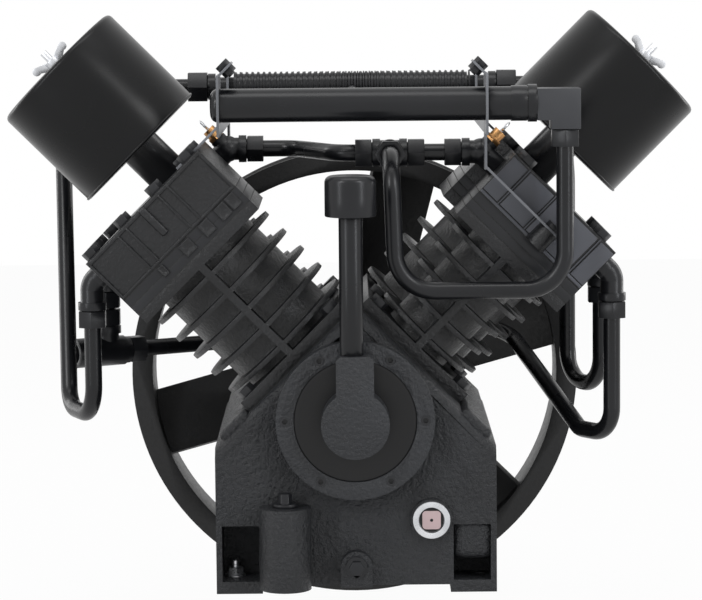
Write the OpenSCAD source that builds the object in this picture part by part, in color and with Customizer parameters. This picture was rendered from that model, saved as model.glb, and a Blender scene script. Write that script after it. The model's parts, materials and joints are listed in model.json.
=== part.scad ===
// Two-stage V-type air compressor pump head with a finned intercooler.
// Lengths are millimetres. The origin lies at the centre of the base, on the plane
// that the feet rest on; the crankshaft runs along Y and the pump end faces -Y.

/* [Crankcase] */
// Outside width of the crankcase
case_w = 286; // [280:2:296]
// Length of the crankcase from front wall to rear wall
case_len = 320; // [318:1:328]
// Thickness of the crankcase walls
case_wall = 10; // [8:1:12]
// Height of the crankshaft axis above the feet
crank_z = 180; // [176:1:188]
// Distance from the crankshaft axis to each cylinder deck
deck_u = 80; // [79:0.5:82]
// Thickness of the cylinder decks
deck_wall = 12; // [10:1:13]
// Height of the sump floor above the ground
sump_lift = 8; // [5:1:10]
// Width of each foot pad
foot_w = 47; // [42:1:50]
// Length of each foot pad
foot_len = 70; // [62:1:80]
// Height of each foot pad
foot_h = 12.5; // [11:0.5:15]
// Radius of the holes for the mounting bolts
foot_bolt_r = 5.5; // [4.5:0.5:6.5]
// Distance between mounting holes across the base
bolt_span_x = 254; // [250:1:256]
// Distance between mounting holes along the base
bolt_span_y = 254; // [248:1:258]

/* [Cylinders] */
// Distance along the crankshaft from the middle of the pump to a first stage cylinder
lp_y = 67; // [67:0.5:69]
// Distance along the crankshaft from the middle of the pump to a second stage cylinder
hp_y = 45; // [44:0.5:45]
// Diameter of the first stage bore
lp_bore = 105; // [100:1:106]
// Diameter of the second stage bore
hp_bore = 60; // [58:1:62]
// Thickness of the cylinder walls
liner_wall = 9; // [8:0.5:10]
// Height of the cooling fins above the cylinder walls
fin_reach = 18.5; // [16:0.5:19]
// Distance from one fin to the next
fin_pitch = 25.4; // [24:0.2:26]
// Thickness of each fin
fin_t = 5; // [4:0.5:6]
// Thickness of the flange that seats on the deck
base_flange_t = 12; // [10:1:14]
// Thickness of the flange that carries the head
top_flange_t = 12; // [10:1:13]
// Height of a cylinder from its deck to the head joint
cylinder_h = 149; // [149:0.5:154]
// Thickness of each valve plate
valve_plate_t = 9; // [8:0.5:10]
// Thickness of the gaskets
gasket_t = 1; // [0.6:0.2:1.4]
// Height of the cylinder heads
head_h = 53; // [50:1:56]
// Radius of the head bolts
head_bolt_r = 5; // [4:0.5:5.5]

/* [Crank train] */
// Stroke of every piston
stroke = 80; // [76:1:80]
// Distance between the two eyes of a connecting rod
rod_len = 150; // [149:0.5:151]
// Width of each connecting rod
rod_w = 20; // [18:0.5:20]
// Radius of the crankpins
crankpin_r = 18; // [16:0.5:18]
// Radius of the main journals
journal_r = 22; // [20:0.5:23]
// Outside radius of the main bearings
bearing_r = 45; // [44:0.5:47]
// Width of the main bearings
bearing_w = 20; // [18:1:21]

/* [Flywheel] */
// Outside radius of the flywheel
flywheel_r = 251; // [240:1:255]
// Width of the flywheel rim
rim_w = 68; // [64:1:80]
// Thickness of the flywheel rim
rim_t = 23; // [21:1:28]
// Gap from the crankcase to the flywheel
flywheel_gap = 30; // [29:1:36]
// Width of each fan blade spoke
blade_w = 76; // [60:1:84]
// Thickness of each fan blade spoke
blade_t = 9; // [7:1:12]
// Slant of the fan blade spokes
blade_tilt = 20; // [12:1:28]

/* [Front cover and breather] */
// Radius of the front cover
cover_r = 80.5; // [78:0.5:84]
// Thickness of the front cover
cover_t = 19; // [17:1:22]
// Height of the bearing boss on the front cover
boss_t = 31; // [29:1:34]
// Outside radius of the breather tube
breather_r = 12; // [10:0.5:13]
// Height of the breather tube above its seat
breather_h = 150; // [120:5:170]
// Radius of the breather cap
breather_cap_r = 25.7; // [22:0.5:28]

/* [Intake filters] */
// Radius of each filter cover
filter_r = 77; // [70:1:78]
// Length of each filter cover
filter_len = 122; // [100:2:130]
// Height of the filters above the heads
filter_gap = 43; // [38:1:52]
// Distance from the middle of the pump to each filter along the crankshaft
filter_y = 28; // [26:1:32]
// Distance of each filter from the middle of its head, towards the V
filter_v = 33; // [30:1:36]

/* [Pipes] */
// Outside radius of the air tubes
tube_r = 8.8; // [7.5:0.1:9]
// Thickness of the tube walls
tube_wall = 1.5; // [1:0.1:2]
// Outside radius of the manifold
manifold_r = 17; // [15:0.5:18]
// Height of the manifold above the crankshaft axis
manifold_z = 317; // [314:1:322]
// Distance of the manifold in front of the middle of the pump
manifold_y = 140; // [138:0.5:143]
// Radius of the intercooler fins
cooler_fin_r = 16; // [14:0.5:17]
// Distance from one intercooler fin to the next
cooler_pitch = 6.4; // [5:0.2:8]
// Height of the intercooler above the crankshaft axis
cooler_z = 326; // [324:1:330]
// Distance of the intercooler behind the middle of the pump
cooler_y = 118; // [117:0.5:121]

/* [Hidden] */
$fn = 48;

// One overrun serves every cut, and slip is the gap of every close fit
over = 2;
slip = 0.05;
// Neighbouring lengths of a bent tube overlap by seam, and a bend is thinner by seam_step
seam = 0.15;
seam_step = 0.02;
bank_tilt = 45;
lean = cos(bank_tilt);

// Crankcase outline and openings
case_half = case_w / 2;
case_front = -case_len / 2;
case_rear = case_len / 2;
peak_half = 5;
deck_peak_z = crank_z + deck_u / lean;
cavity_half = case_half - case_wall;
cavity_peak_z = crank_z + (deck_u - deck_wall) / lean;
cavity_floor_z = sump_lift + case_wall;
pocket_r = 15;
pocket_top = 70;
pocket_side = 6;
pocket_w = 38;
front_spigot_r = 62;
rear_spigot_r = 62;
spigot_len = 34;
filler_x = -72;
filler_r = 26;
filler_h = 84;
filler_out = 14;
filler_bore_r = 9;
filler_floor = 22;
filler_duct_r = 7;
drain_r = 16;
drain_z = 29;
drain_out = 12;
drain_bore_r = 8;
glass_x = 76.5;
glass_z = 76;
glass_pad_r = 21;
glass_pad_out = 6;
glass_bore_r = 15;
filler_cap_r = 13;
filler_cap_t = 4;
filler_hex_af = 13;
filler_hex_h = 10;
filler_plug_len = 18;
dipstick_r = 2.5;
dipstick_len = 60;
drain_plug_len = 20;
drain_flange_r = 11;
drain_flange_t = 3;
drain_hex_af = 14;
drain_hex_h = 7;
bezel_r = 19;
bezel_t = 3;
bezel_grip = 8;
bezel_lip = 2;
glass_r = 13;
glass_t = 3;

// Cylinder bank heights, measured from the crankshaft axis along each bank
lp_r = lp_bore / 2;
hp_r = hp_bore / 2;
lp_wall_r = lp_r + liner_wall;
hp_wall_r = hp_r + liner_wall;
lp_fin_r = lp_wall_r + fin_reach;
hp_fin_r = hp_wall_r + fin_reach;
flange_u = deck_u + gasket_t;
flange_top_u = flange_u + base_flange_t;
block_top_u = flange_u + cylinder_h;
top_flange_u = block_top_u - top_flange_t;
seat_u = block_top_u + gasket_t;
seat_top_u = seat_u + valve_plate_t;
guard_u = seat_top_u + gasket_t;
guard_top_u = guard_u + valve_plate_t;
head_u = guard_top_u + gasket_t;
head_top_u = head_u + head_h;
first_fin = 11.2;
fin_count = 5;
liner_drop = 12;
rib_w = 8;
bridge_half = 40;

// Bank plan, v across the bank towards the V and y along the crankshaft
block_y0 = -lp_y - lp_fin_r;
block_y1 = hp_y + hp_fin_r;
split_y = (hp_y - hp_r - lp_y + lp_r) / 2;
base_half = 72;
plan_in = 3;
plan_v1 = lp_fin_r + plan_in;
hp_plan_v0 = -lp_fin_r + plan_in;
inner_pad = 10.5;
hp_plan_v1 = hp_fin_r + inner_pad;
bolt_edge = 11;
stud_r = 5;
stud_edge = 12;
hp_bolt_edge = 3.7;
lp_bolt_step = 44;
lp_bolt_front = 7;
hp_bolt_out = 5;
hp_bolt_in = 23;
stud_v = base_half - stud_edge;
stud_ys = [block_y0 + bolt_edge, split_y, block_y1 - bolt_edge];
stud_grip = 10;
nut_h = 8;
nut_af = 16;
bolt_v = lp_fin_r - bolt_edge;
bolt_inner_share = 1 / 3;
hp_bolt_v = hp_fin_r - hp_bolt_edge;
lp_bolt_at = -lp_y - lp_bolt_front;
lp_bolt_rows = [block_y0 + bolt_edge, lp_bolt_at, lp_bolt_at + lp_bolt_step];
hp_bolt_rows_out = [split_y, hp_y - hp_bolt_out, block_y1 - bolt_edge];
hp_bolt_rows_in = [split_y, hp_y - hp_bolt_in, hp_y + hp_bolt_in, block_y1 - bolt_edge];
head_bolts_at = concat(
  [for (y = lp_bolt_rows, s = [-1, 1]) [s * bolt_v, y]],
  [for (s = [-1, 1]) [s * bolt_v * bolt_inner_share, block_y0 + bolt_edge]],
  [for (y = hp_bolt_rows_out) [-hp_bolt_v, y]],
  [for (y = hp_bolt_rows_in) [hp_bolt_v, y]],
  [[0, block_y1 - bolt_edge]]);
bolt_head_h = 9;
bolt_head_af = 16;

// Air chambers and ports of the heads
chamber_gap = 6;
chamber_side = 22;
chamber_end = 21;
chamber_top = 10;
chamber_cap_u = head_top_u - chamber_top;
port_rise = 34;
port_u = head_u + port_rise;
lp_out_y = 95;
hp_out_step = 25;
hp_out_y = hp_y + hp_out_step;
inlet_drop = 5;
inlet_u = port_u - inlet_drop;
inlet_reach = 23;
neck_r = 22;
neck_bore_r = 17;
valve_port_r = 6;
valve_port_v = 22;
hp_port_share = 0.6;
window_share = 0.66;
reed_t = 0.6;
reed_w = 18;
reed_len = 60;
port_grip = 12;
port_grip_r = 10;
lug_v = 10;
lug_y = 118;
lug_r = 11;
lug_h = 21.5;
lug_bolt_len = 9;
strap_bolt_v = 60;
strap_bolt_y = 116;
relief_ball_r = 14;
relief_boss_r = 9;
relief_boss_h = 15.5;
relief_shank_r = 3.5;
relief_hex_af = 16;
relief_hex_h = 5;
relief_barrel_r = 7;
relief_barrel_h = 9;
relief_stem_r = 1.6;
relief_stem_in = 8;
relief_stem_out = 2;
relief_ring_r = 5;
relief_wire_r = 1.2;

// Intake filters
filter_base_u = head_top_u + filter_gap;
filter_top_u = filter_base_u + filter_len;
filter_skin = 2;
filter_round = 5;
base_plate_t = 2.5;
element_r = 58;
element_bore_r = 40;
cover_lip = 1.2;
cover_lip_h = 3;
air_hole_r = 6;
air_hole_ring = 66;
air_holes = 12;
filter_stud_r = 4;
stud_tail = 20;
bridge_t = 6;
bridge_w = 14;
wing_r = 8;
wing_h = 9;
wing_span = 19;
wing_top = 15;
wing_t = 3;
wing_tip_r = 4.5;

// Fittings of the air tubes
thread_r = 11;
thread_len = 12;
collar_r = 14.5;
collar_len = 8;
socket_len = 10;
nut_len = 17;
tube_nut_af = 27;
nut_seat = 1;
elbow_r = 12;
elbow_bore_r = 6;
elbow_bend = 16;
elbow_out = 17;
elbow_drop = 19;
big_thread_r = 13;
big_nut_af = 31;
big_nut_len = 21;
tube_bend = 33;
discharge_bend = 28;

// Points and directions in the left bank, and the half turn that gives the right bank
function bank_point(v, y, u) = [(v - u) * lean, y, crank_z + (u + v) * lean];
function half_turn(p) = [-p[0], -p[1], p[2]];
function unit(d) = d / norm(d);
function bend_turn(p, i) = acos(unit(p[i] - p[i - 1]) * unit(p[i + 1] - p[i]));
function bend_cut(p, i, radius) =
  i == 0 || i == len(p) - 1 ? 0 : radius * tan(bend_turn(p, i) / 2);

v_dir = [lean, 0, lean];
u_dir = [-lean, 0, lean];
down = [0, 0, -1];

// Outlet and inlet ends of the head elbows, left bank
lp_port = bank_point(-lp_fin_r, -lp_out_y, port_u);
hp_port = bank_point(hp_plan_v0, hp_out_y, port_u);
inlet_port = bank_point(hp_plan_v1, hp_y, inlet_u);
lp_corner = lp_port - elbow_out * v_dir;
hp_corner = hp_port - elbow_out * v_dir;
inlet_corner = inlet_port + inlet_reach * v_dir;
elbow_foot = elbow_drop + collar_len + thread_len;
lp_end = lp_corner + elbow_foot * down;
hp_end = hp_corner + elbow_foot * down;
inlet_leg = elbow_r + collar_len + thread_len;
inlet_end = inlet_corner + [inlet_leg, 0, 0];
lp_right_end = half_turn(lp_end);
hp_right_end = half_turn(hp_end);
inlet_right_end = half_turn(inlet_end);

// Manifold, intercooler and the pipes between them
manifold_at = crank_z + manifold_z;
cooler_at = crank_z + cooler_z;
manifold_x0 = -143.5;
manifold_x1 = 177;
manifold_wall = 2.5;
crossover_r = 7;
crossover_lift = 3;
crossover_z = manifold_at + crossover_lift;
crossover_bore_r = 5;
cooler_core_r = 10.4;
cooler_bore_r = 8;
cooler_fin_t = 1.6;
cooler_half = 130;
cooler_neck = 149;
cooler_end = cooler_neck + collar_len + thread_len;
elbow_x = 214.5;
block_half = 15;
flange_r = 19;
flange_t = 9;
elbow_block_r = 17;
elbow_top = 15;
elbow_low = 26;
elbow_arm = 17;
manifold_round = 8;
sleeve_r = 18;
sleeve_x = 160;
sleeve_len = 16;
manifold_stub = 12;
u_leg_end = manifold_at - elbow_low - thread_len;
tee_x = 38.6;
tee_y = -hp_y;
tee_core = 11;
tee_r = 13;
tee_reach = 18;
u_lean = 4.5;
u_drop = 127;
u_bottom_z = crank_z + u_drop;
u_bend = 40;
s_start = 40;
s_end = 36;
pipe_z = inlet_corner[2];

// Routes of the air tubes, each a list of corners
low_bend = 5;
low_bend_z = crank_z - low_bend;
left_step_x = 32;
left_step_y = 71;
left_rise_x = 47;
right_step_x = -32;
right_step_y = 62;
right_knee = 220;
right_knee_z = crank_z + right_knee;
right_rise_x = -42;
hp_low_bend = 33;
hp_bend_z = crank_z - hp_low_bend;
hp_step_x = -30;
hp_step_y = 42;
run_gap = 12;
run_y = case_rear + run_gap;
run_x = 176;
run_rise = 44;
run_peak = 104;
port_rise_z = 42;
run_z = crank_z + run_rise;
run_top_z = crank_z + run_peak;
tee_axis_z = crank_z + port_rise_z;
tee_turn = 31;
tee_dir = [cos(tee_turn), sin(tee_turn), 0];
port_tee_at = [hp_end[0], hp_end[1], tee_axis_z];
port_tee_r = 16;
port_tee_front = 40;
port_tee_back = 16;
outlet_r = 11;
outlet_len = 20;
port_tee_top = 20;
branch_end = port_tee_at + [0, 0, port_tee_top + collar_len + thread_len];
run_end = port_tee_at + (port_tee_back + collar_len + thread_len) * tee_dir;
run_left_x = run_end[0] + (run_y - run_end[1]) / tan(tee_turn);
socket_up = [0, 0, socket_len];
tee_left_end = [tee_x - tee_reach - thread_len, tee_y, pipe_z];
tee_right_end = [tee_x + tee_reach + thread_len, tee_y, pipe_z];
tee_front_end = [tee_x, tee_y - tee_reach - thread_len, pipe_z];

left_tube_points = [
  lp_end + socket_up,
  [lp_end[0], lp_end[1], low_bend_z],
  [lp_end[0] - left_step_x, lp_end[1] + left_step_y, low_bend_z],
  [lp_end[0] - left_rise_x, cooler_y, cooler_at],
  [-cooler_end + socket_len, cooler_y, cooler_at]
];
right_tube_points = [
  lp_right_end + socket_up,
  [lp_right_end[0], lp_right_end[1], low_bend_z],
  [lp_right_end[0] + right_step_x, lp_right_end[1] + right_step_y, low_bend_z],
  [lp_right_end[0] + right_step_x, lp_right_end[1] + right_step_y, right_knee_z],
  [lp_right_end[0] + right_rise_x, cooler_y, cooler_at],
  [cooler_end - socket_len, cooler_y, cooler_at]
];
discharge_points = [
  hp_right_end + socket_up,
  [hp_right_end[0], hp_right_end[1], hp_bend_z],
  [hp_right_end[0] + hp_step_x, hp_right_end[1] + hp_step_y, hp_bend_z],
  [run_x, run_y, run_z],
  [0, run_y, run_top_z],
  [run_left_x, run_y, tee_axis_z],
  run_end - socket_len * tee_dir
];
u_points = [
  tee_front_end + [0, socket_len, 0],
  [tee_x, -manifold_y, pipe_z],
  [tee_x + u_lean, -manifold_y, u_bottom_z],
  [elbow_x, -manifold_y, u_bottom_z],
  [elbow_x, -manifold_y, u_leg_end + socket_len]
];
left_pipe_points = [
  inlet_end - [socket_len, 0, 0],
  [inlet_end[0] + s_start, hp_y, pipe_z],
  [tee_x - tee_reach - s_end, tee_y, pipe_z],
  tee_left_end + [socket_len, 0, 0]
];
right_pipe_points = [
  tee_right_end - [socket_len, 0, 0],
  inlet_right_end + [socket_len, 0, 0]
];

// Every compression nut: the end of its thread and the way its tube leaves
small_nuts = [
  [lp_end, down], [hp_end, down], [lp_right_end, down], [hp_right_end, down],
  [inlet_end, [1, 0, 0]], [inlet_right_end, [-1, 0, 0]],
  [tee_left_end, [-1, 0, 0]], [tee_right_end, [1, 0, 0]], [tee_front_end, [0, -1, 0]],
  [branch_end, [0, 0, 1]], [run_end, tee_dir],
  [[elbow_x, -manifold_y, u_leg_end], down]
];
big_nuts = [
  [[-cooler_end, cooler_y, cooler_at], [-1, 0, 0]],
  [[cooler_end, cooler_y, cooler_at], [1, 0, 0]]
];

// Front cover, bearings and crank train along the crankshaft
cover_back = case_front - gasket_t;
cover_face = cover_back - cover_t;
cover_recess_r = 62.3;
cover_recess = 5;
cover_bolt_ring = 71;
cover_bolts = 6;
cover_bolt_r = 3;
cover_bolt_head_r = 5;
cover_bolt_head = 4;
cover_bolt_len = 27;
hub_r = 34.4;
neck_half = 19;
neck_round = 6;
neck_top = 69;
breather_x = -3;
breather_in = 3;
breather_y = cover_face - boss_t / 2 + breather_in;
breather_bore_r = 9;
breather_seat = 12;
vent_drop = 40;
vent_r = 8;
cap_drop = 11;
cap_h = 41.5;
cap_skin = 2;
cap_round = 5;
cap_hole_r = 2.5;
front_pocket_y = cover_back + spigot_len - bearing_w;
rear_pocket_y = case_rear - spigot_len;
ring_t = 6.5;
ball_ring_r = (bearing_r + journal_r) / 2;
ball_r = ring_t;
balls = 10;
rear_flange_r = 77;
rear_flange_t = 10;
rear_bolt_ring = 69.5;
rear_bolts = 6;
rear_bolt_r = 4;
rear_bolt_af = 13;
rear_bolt_head = 5;
seal_r = 32;
seal_w = 9;
rear_lip_r = 34;

throw = stroke / 2;
throw_y = (lp_y + hp_y) / 2;
rod_gap = (lp_y - hp_y - rod_w) / 2;
pin_half = rod_w + 2 * rod_gap;
web_t = 16;
web_r = 64;
web_pin_r = 24;
web_waist = 34;
weight_cut = 10;
mid_journal_r = 26;
shoulder_r = 28;
big_end_t = 10;
big_end_r = crankpin_r + big_end_t;
part_gap = 0.3;
sweep_r = throw + big_end_r + part_gap;
nose_r = 19;
key_w = 10;
key_h = 8;
key_len = 50;
hub_step = 14;
hub_y = case_rear + rear_flange_t + hub_step;
flywheel_front = case_rear + flywheel_gap;
flywheel_back = flywheel_front + rim_w;
wheel_hub_r = 45;
hub_short = 6;
hub_back = flywheel_back - hub_short;
groove_count = 3;
groove_pitch = 19;
groove_top = 16.5;
groove_foot = 9;
groove_depth = 12;
blade_count = 6;
blade_start = 15.4;
nose_bolt_r = 6;
nose_bolt_len = 35;
nose_bolt_af = 19;
nose_bolt_head = 8;
washer_t = 5;
washer_r = 24;

lp_pin_r = 9;
hp_pin_r = 8;
small_end_add = 6;
shank_w = 20;
shank_t = 12;
hp_shank_w = 14;
crown_h = 38;
skirt_h = 26;
crown_t = 9;
piston_wall = 5;
piston_gap = 0.25;
ring_h = 3;
ring_depth = 3.5;
ring_count = 3;
ring_step = 7;
ring_drop = 8;
boss_add = 5;
boss_gap = 1.5;
pin_short = 2;

// Side brackets
bracket_t = 2.5;
bracket_x = 134;
bracket_y0 = -162;
bracket_y1 = 138;
bracket_z0 = 466;
bracket_z1 = 484;
post_y0 = -108;
post_y1 = 98;
post_front_z = 528;
post_rear_z = 530;
leg_half = 10;
strap_half = 9.5;
leg_z = 429.2;
strap_v0 = 52;
strap_v1 = 114;
low_strap_v0 = -19;
low_strap_v1 = 81.5;
hole_gap = 0.1;
tab_y0 = -155;
tab_y1 = -117;
tab_len = 20;
tab_dip = 1;
tab_bolt = 12;
bracket_bolt_r = 4;
bracket_bolt_af = 13;
bracket_bolt_head = 6;
bracket_nut_h = 6;

// Placement helpers
module left_bank() {
  translate([0, 0, crank_z]) rotate([0, -bank_tilt, 0]) children();
}
module right_bank() {
  rotate([0, 0, 180]) left_bank() children();
}
module both_banks() {
  left_bank() children();
  right_bank() children();
}
module along(p, d) {
  z = unit(d);
  x = unit(cross(abs(z[2]) < 0.9 ? [0, 0, 1] : [1, 0, 0], z));
  y = cross(z, x);
  multmatrix([
    [x[0], y[0], z[0], p[0]],
    [x[1], y[1], z[1], p[1]],
    [x[2], y[2], z[2], p[2]],
    [0, 0, 0, 1]
  ]) children();
}
module from_y(y0) {
  translate([0, y0, 0]) rotate([-90, 0, 0]) children();
}
module crank_axis(y0) {
  translate([0, y0, crank_z]) rotate([-90, 0, 0]) children();
}

// Plain shapes
module rounded_can(r, h, edge) {
  cylinder(r = r, h = h - edge);
  cylinder(r = r - edge, h = h);
  translate([0, 0, h - edge]) rotate_extrude() translate([r - edge, 0]) intersection() {
    circle(edge);
    square(edge);
  }
}
module pipe(r, bore, h) {
  linear_extrude(h) difference() {
    circle(r);
    circle(bore);
  }
}
module hex(af, h) {
  cylinder(r = af / sqrt(3), h = h, $fn = 6);
}
module plate(v0, v1, y0, y1, u0, t) {
  translate([v0, y0, u0]) cube([v1 - v0, y1 - y0, t]);
}
module rod_run(p, r, bend) {
  last = len(p) - 1;
  for (i = [0:last - 1]) {
    d = unit(p[i + 1] - p[i]);
    start = p[i] + (bend_cut(p, i, bend) - (i > 0 ? seam : 0)) * d;
    end = p[i + 1] - (bend_cut(p, i + 1, bend) - (i < last - 1 ? seam : 0)) * d;
    along(start, d) cylinder(r = r, h = norm(end - start));
  }
  if (last > 1) for (i = [1:last - 1]) {
    d = unit(p[i] - p[i - 1]);
    n = unit(cross(d, unit(p[i + 1] - p[i])));
    m = cross(n, d);
    c = p[i] - bend_cut(p, i, bend) * d + bend * m;
    multmatrix([
      [-m[0], d[0], n[0], c[0]],
      [-m[1], d[1], n[1], c[1]],
      [-m[2], d[2], n[2], c[2]],
      [0, 0, 0, 1]
    ]) rotate_extrude(angle = bend_turn(p, i)) translate([bend, 0]) circle(r - seam_step);
  }
}
function stretched(p) = [for (i = [0:len(p) - 1])
  i == 0 ? p[0] - over * unit(p[1] - p[0]) :
  i == len(p) - 1 ? p[i] + over * unit(p[i] - p[i - 1]) : p[i]];
module tube_run(p, bend) {
  difference() {
    rod_run(p, tube_r, bend);
    rod_run(stretched(p), tube_r - tube_wall, bend);
  }
}
// A collar and a thread that end at p, with a socket for the tube that leaves along d
module socket_end(p, d, body_r, neck_r, grip_r) {
  reach = collar_len + thread_len;
  along(p - reach * unit(d), d) difference() {
    union() {
      cylinder(r = body_r, h = collar_len);
      cylinder(r = neck_r, h = reach);
    }
    translate([0, 0, -over]) cylinder(r = elbow_bore_r, h = reach + 2 * over);
    translate([0, 0, reach - socket_len - slip])
      cylinder(r = grip_r + slip, h = socket_len + over);
  }
}
module tube_nut(p, d, af, neck_r, length) {
  along(p - (thread_len - nut_seat) * unit(d), d) difference() {
    hex(af, length);
    translate([0, 0, -over]) cylinder(r = tube_r + slip, h = length + 2 * over);
    translate([0, 0, -over])
      cylinder(r = neck_r + slip, h = thread_len - nut_seat + over + slip);
  }
}

// Crankcase
module case_outline(half, peak, base) {
  shoulder = peak - half;
  polygon([
    [-half, base], [half, base], [half, shoulder],
    [peak_half, peak - peak_half], [-peak_half, peak - peak_half], [-half, shoulder]
  ]);
}
module case_prism(half, peak, base, length) {
  rotate([90, 0, 0]) linear_extrude(length, center = true) case_outline(half, peak, base);
}
module foot_pockets(grow) {
  depth = case_rear - bolt_span_y / 2 + pocket_r;
  for (x = [0, 1], y = [0, 1]) mirror([x, 0, 0]) mirror([0, y, 0])
    translate([case_half - pocket_side - pocket_w - grow, case_rear - depth - grow,
         foot_h - grow])
      cube([pocket_w + 2 * grow, depth + grow + over, pocket_top - foot_h + 2 * grow]);
}
module at_feet() {
  for (x = [-1, 1], y = [-1, 1])
    translate([x * bolt_span_x / 2, y * bolt_span_y / 2, 0]) children();
}
module cavity() {
  difference() {
    case_prism(cavity_half, cavity_peak_z, cavity_floor_z, case_len - 2 * case_wall);
    foot_pockets(case_wall);
  }
}
module deck_openings() {
  translate([0, 0, deck_u - liner_drop - over]) {
    translate([0, -lp_y, 0]) cylinder(r = lp_wall_r + slip, h = liner_drop + 2 * over);
    translate([0, hp_y, 0]) cylinder(r = hp_wall_r + slip, h = liner_drop + 2 * over);
    for (y = stud_ys, s = [-1, 1])
      translate([s * stud_v, y, over + liner_drop - stud_grip])
        cylinder(r = stud_r + slip, h = stud_grip + over);
  }
}
module crankcase() {
  color("#26272a") difference() {
    union() {
      case_prism(case_half, deck_peak_z, sump_lift, case_len);
      for (x = [-1, 1], y = [-1, 1])
        translate([x > 0 ? case_half - foot_w : -case_half,
             y > 0 ? case_rear - foot_len : case_front, 0])
          cube([foot_w, foot_len, foot_h]);
      translate([filler_x, case_front - filler_out, sump_lift])
        cylinder(r = filler_r, h = filler_h);
      translate([-drain_r, case_front - drain_out, sump_lift])
        cube([2 * drain_r, 2 * drain_out, drain_z - sump_lift]);
      translate([0, 0, drain_z]) from_y(case_front - drain_out)
        cylinder(r = drain_r, h = 2 * drain_out);
      translate([glass_x, 0, glass_z]) from_y(case_front - glass_pad_out)
        cylinder(r = glass_pad_r, h = 2 * glass_pad_out);
    }
    cavity();
    crank_axis(case_front - over)
      cylinder(r = front_spigot_r + slip, h = case_wall + 2 * over);
    crank_axis(case_rear - case_wall - over)
      cylinder(r = rear_spigot_r + slip, h = case_wall + 2 * over);
    both_banks() deck_openings();
    cover_bolt_places() cylinder(r = cover_bolt_r + slip, h = cover_bolt_len);
    rear_bolt_places() mirror([0, 0, 1])
      cylinder(r = rear_bolt_r + slip, h = rear_flange_t + case_wall + over);
    at_feet() translate([0, 0, -over]) cylinder(r = foot_bolt_r, h = foot_h + 2 * over);
    foot_pockets(0);
    translate([filler_x, case_front - filler_out, filler_floor])
      cylinder(r = filler_bore_r, h = filler_h);
    translate([filler_x, 0, filler_floor + filler_duct_r + over]) from_y(case_front - filler_out)
      cylinder(r = filler_duct_r, h = filler_out + case_wall + over);
    translate([0, 0, drain_z]) from_y(case_front - drain_out - over)
      cylinder(r = drain_bore_r, h = drain_out + case_wall + 2 * over);
    translate([glass_x, 0, glass_z]) from_y(case_front - glass_pad_out - over)
      cylinder(r = glass_bore_r, h = glass_pad_out + case_wall + 2 * over);
  }
}

// Front cover with the bearing boss and the breather neck
module cover_bolt_places() {
  for (i = [0:cover_bolts - 1])
    crank_axis(cover_face) rotate([0, 0, i * 360 / cover_bolts])
      translate([cover_bolt_ring, 0, 0]) children();
}
module neck_block(length) {
  side = neck_half - neck_round;
  crank_axis(cover_face - boss_t) mirror([0, 1, 0]) {
    translate([-neck_half, 0, 0]) cube([2 * neck_half, neck_top - neck_round, length]);
    translate([-side, 0, 0]) cube([2 * side, neck_top, length]);
    for (s = [-1, 1]) translate([s * side, neck_top - neck_round, 0])
      cylinder(r = neck_round, h = length);
  }
}
module front_cover() {
  color("#2b2d31") difference() {
    union() {
      difference() {
        crank_axis(cover_face) cylinder(r = cover_r, h = cover_t);
        crank_axis(cover_face - over)
          cylinder(r = cover_recess_r, h = cover_recess + over);
      }
      crank_axis(cover_face + cover_recess / 2)
        cylinder(r = front_spigot_r, h = cover_t - cover_recess / 2 + spigot_len);
      crank_axis(cover_face - boss_t) cylinder(r = hub_r, h = boss_t + cover_t);
      neck_block(boss_t + cover_t);
    }
    crank_axis(front_pocket_y) cylinder(r = bearing_r + slip, h = spigot_len);
    crank_axis(front_pocket_y - over) cylinder(r = rear_lip_r, h = spigot_len);
    cover_bolt_places() {
      translate([0, 0, -over]) cylinder(r = cover_bolt_r + slip, h = cover_t + 2 * over);
      translate([0, 0, -over]) cylinder(r = cover_bolt_head_r + slip, h = cover_bolt_head + over);
    }
    translate([breather_x, breather_y, crank_z + neck_top - breather_seat])
      cylinder(r = breather_r + slip, h = breather_seat + over);
    translate([breather_x, breather_y, crank_z + neck_top - vent_drop])
      cylinder(r = vent_r, h = vent_drop);
    translate([breather_x, 0, crank_z + neck_top - vent_drop]) from_y(breather_y)
      cylinder(r = vent_r, h = front_pocket_y - breather_y);
  }
}
module front_cover_bolts() {
  color("#1b1b1d") cover_bolt_places() difference() {
    union() {
      cylinder(r = cover_bolt_head_r, h = cover_bolt_head);
      cylinder(r = cover_bolt_r, h = cover_bolt_len);
    }
    translate([0, 0, -over]) hex(cover_bolt_head_r, cover_bolt_head - slip + over);
  }
}
module gasket_outline(v0, v1, y0, y1) {
  translate([v0, y0]) square([v1 - v0, y1 - y0]);
}
module gaskets() {
  color("#3a3328") {
    crank_axis(case_front - gasket_t) difference() {
      pipe(cover_r, front_spigot_r + slip, gasket_t);
      for (i = [0:cover_bolts - 1]) rotate([0, 0, i * 360 / cover_bolts])
        translate([cover_bolt_ring, 0, -over])
          cylinder(r = cover_bolt_r + slip, h = gasket_t + 2 * over);
    }
    both_banks() {
      translate([0, 0, deck_u]) difference() {
        plate(-base_half, base_half, block_y0, block_y1, 0, gasket_t);
        translate([0, -lp_y, -over]) cylinder(r = lp_wall_r + slip, h = gasket_t + 2 * over);
        translate([0, hp_y, -over]) cylinder(r = hp_wall_r + slip, h = gasket_t + 2 * over);
        for (y = stud_ys, s = [-1, 1]) translate([s * stud_v, y, -over])
          cylinder(r = stud_r + slip, h = gasket_t + 2 * over);
      }
      translate([0, 0, block_top_u]) head_gasket() {
        translate([0, -lp_y, 0]) circle(lp_r);
        translate([0, hp_y, 0]) circle(hp_r);
      }
      translate([0, 0, seat_top_u]) head_gasket() port_windows();
      translate([0, 0, guard_top_u]) head_gasket() port_windows();
    }
  }
}
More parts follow.
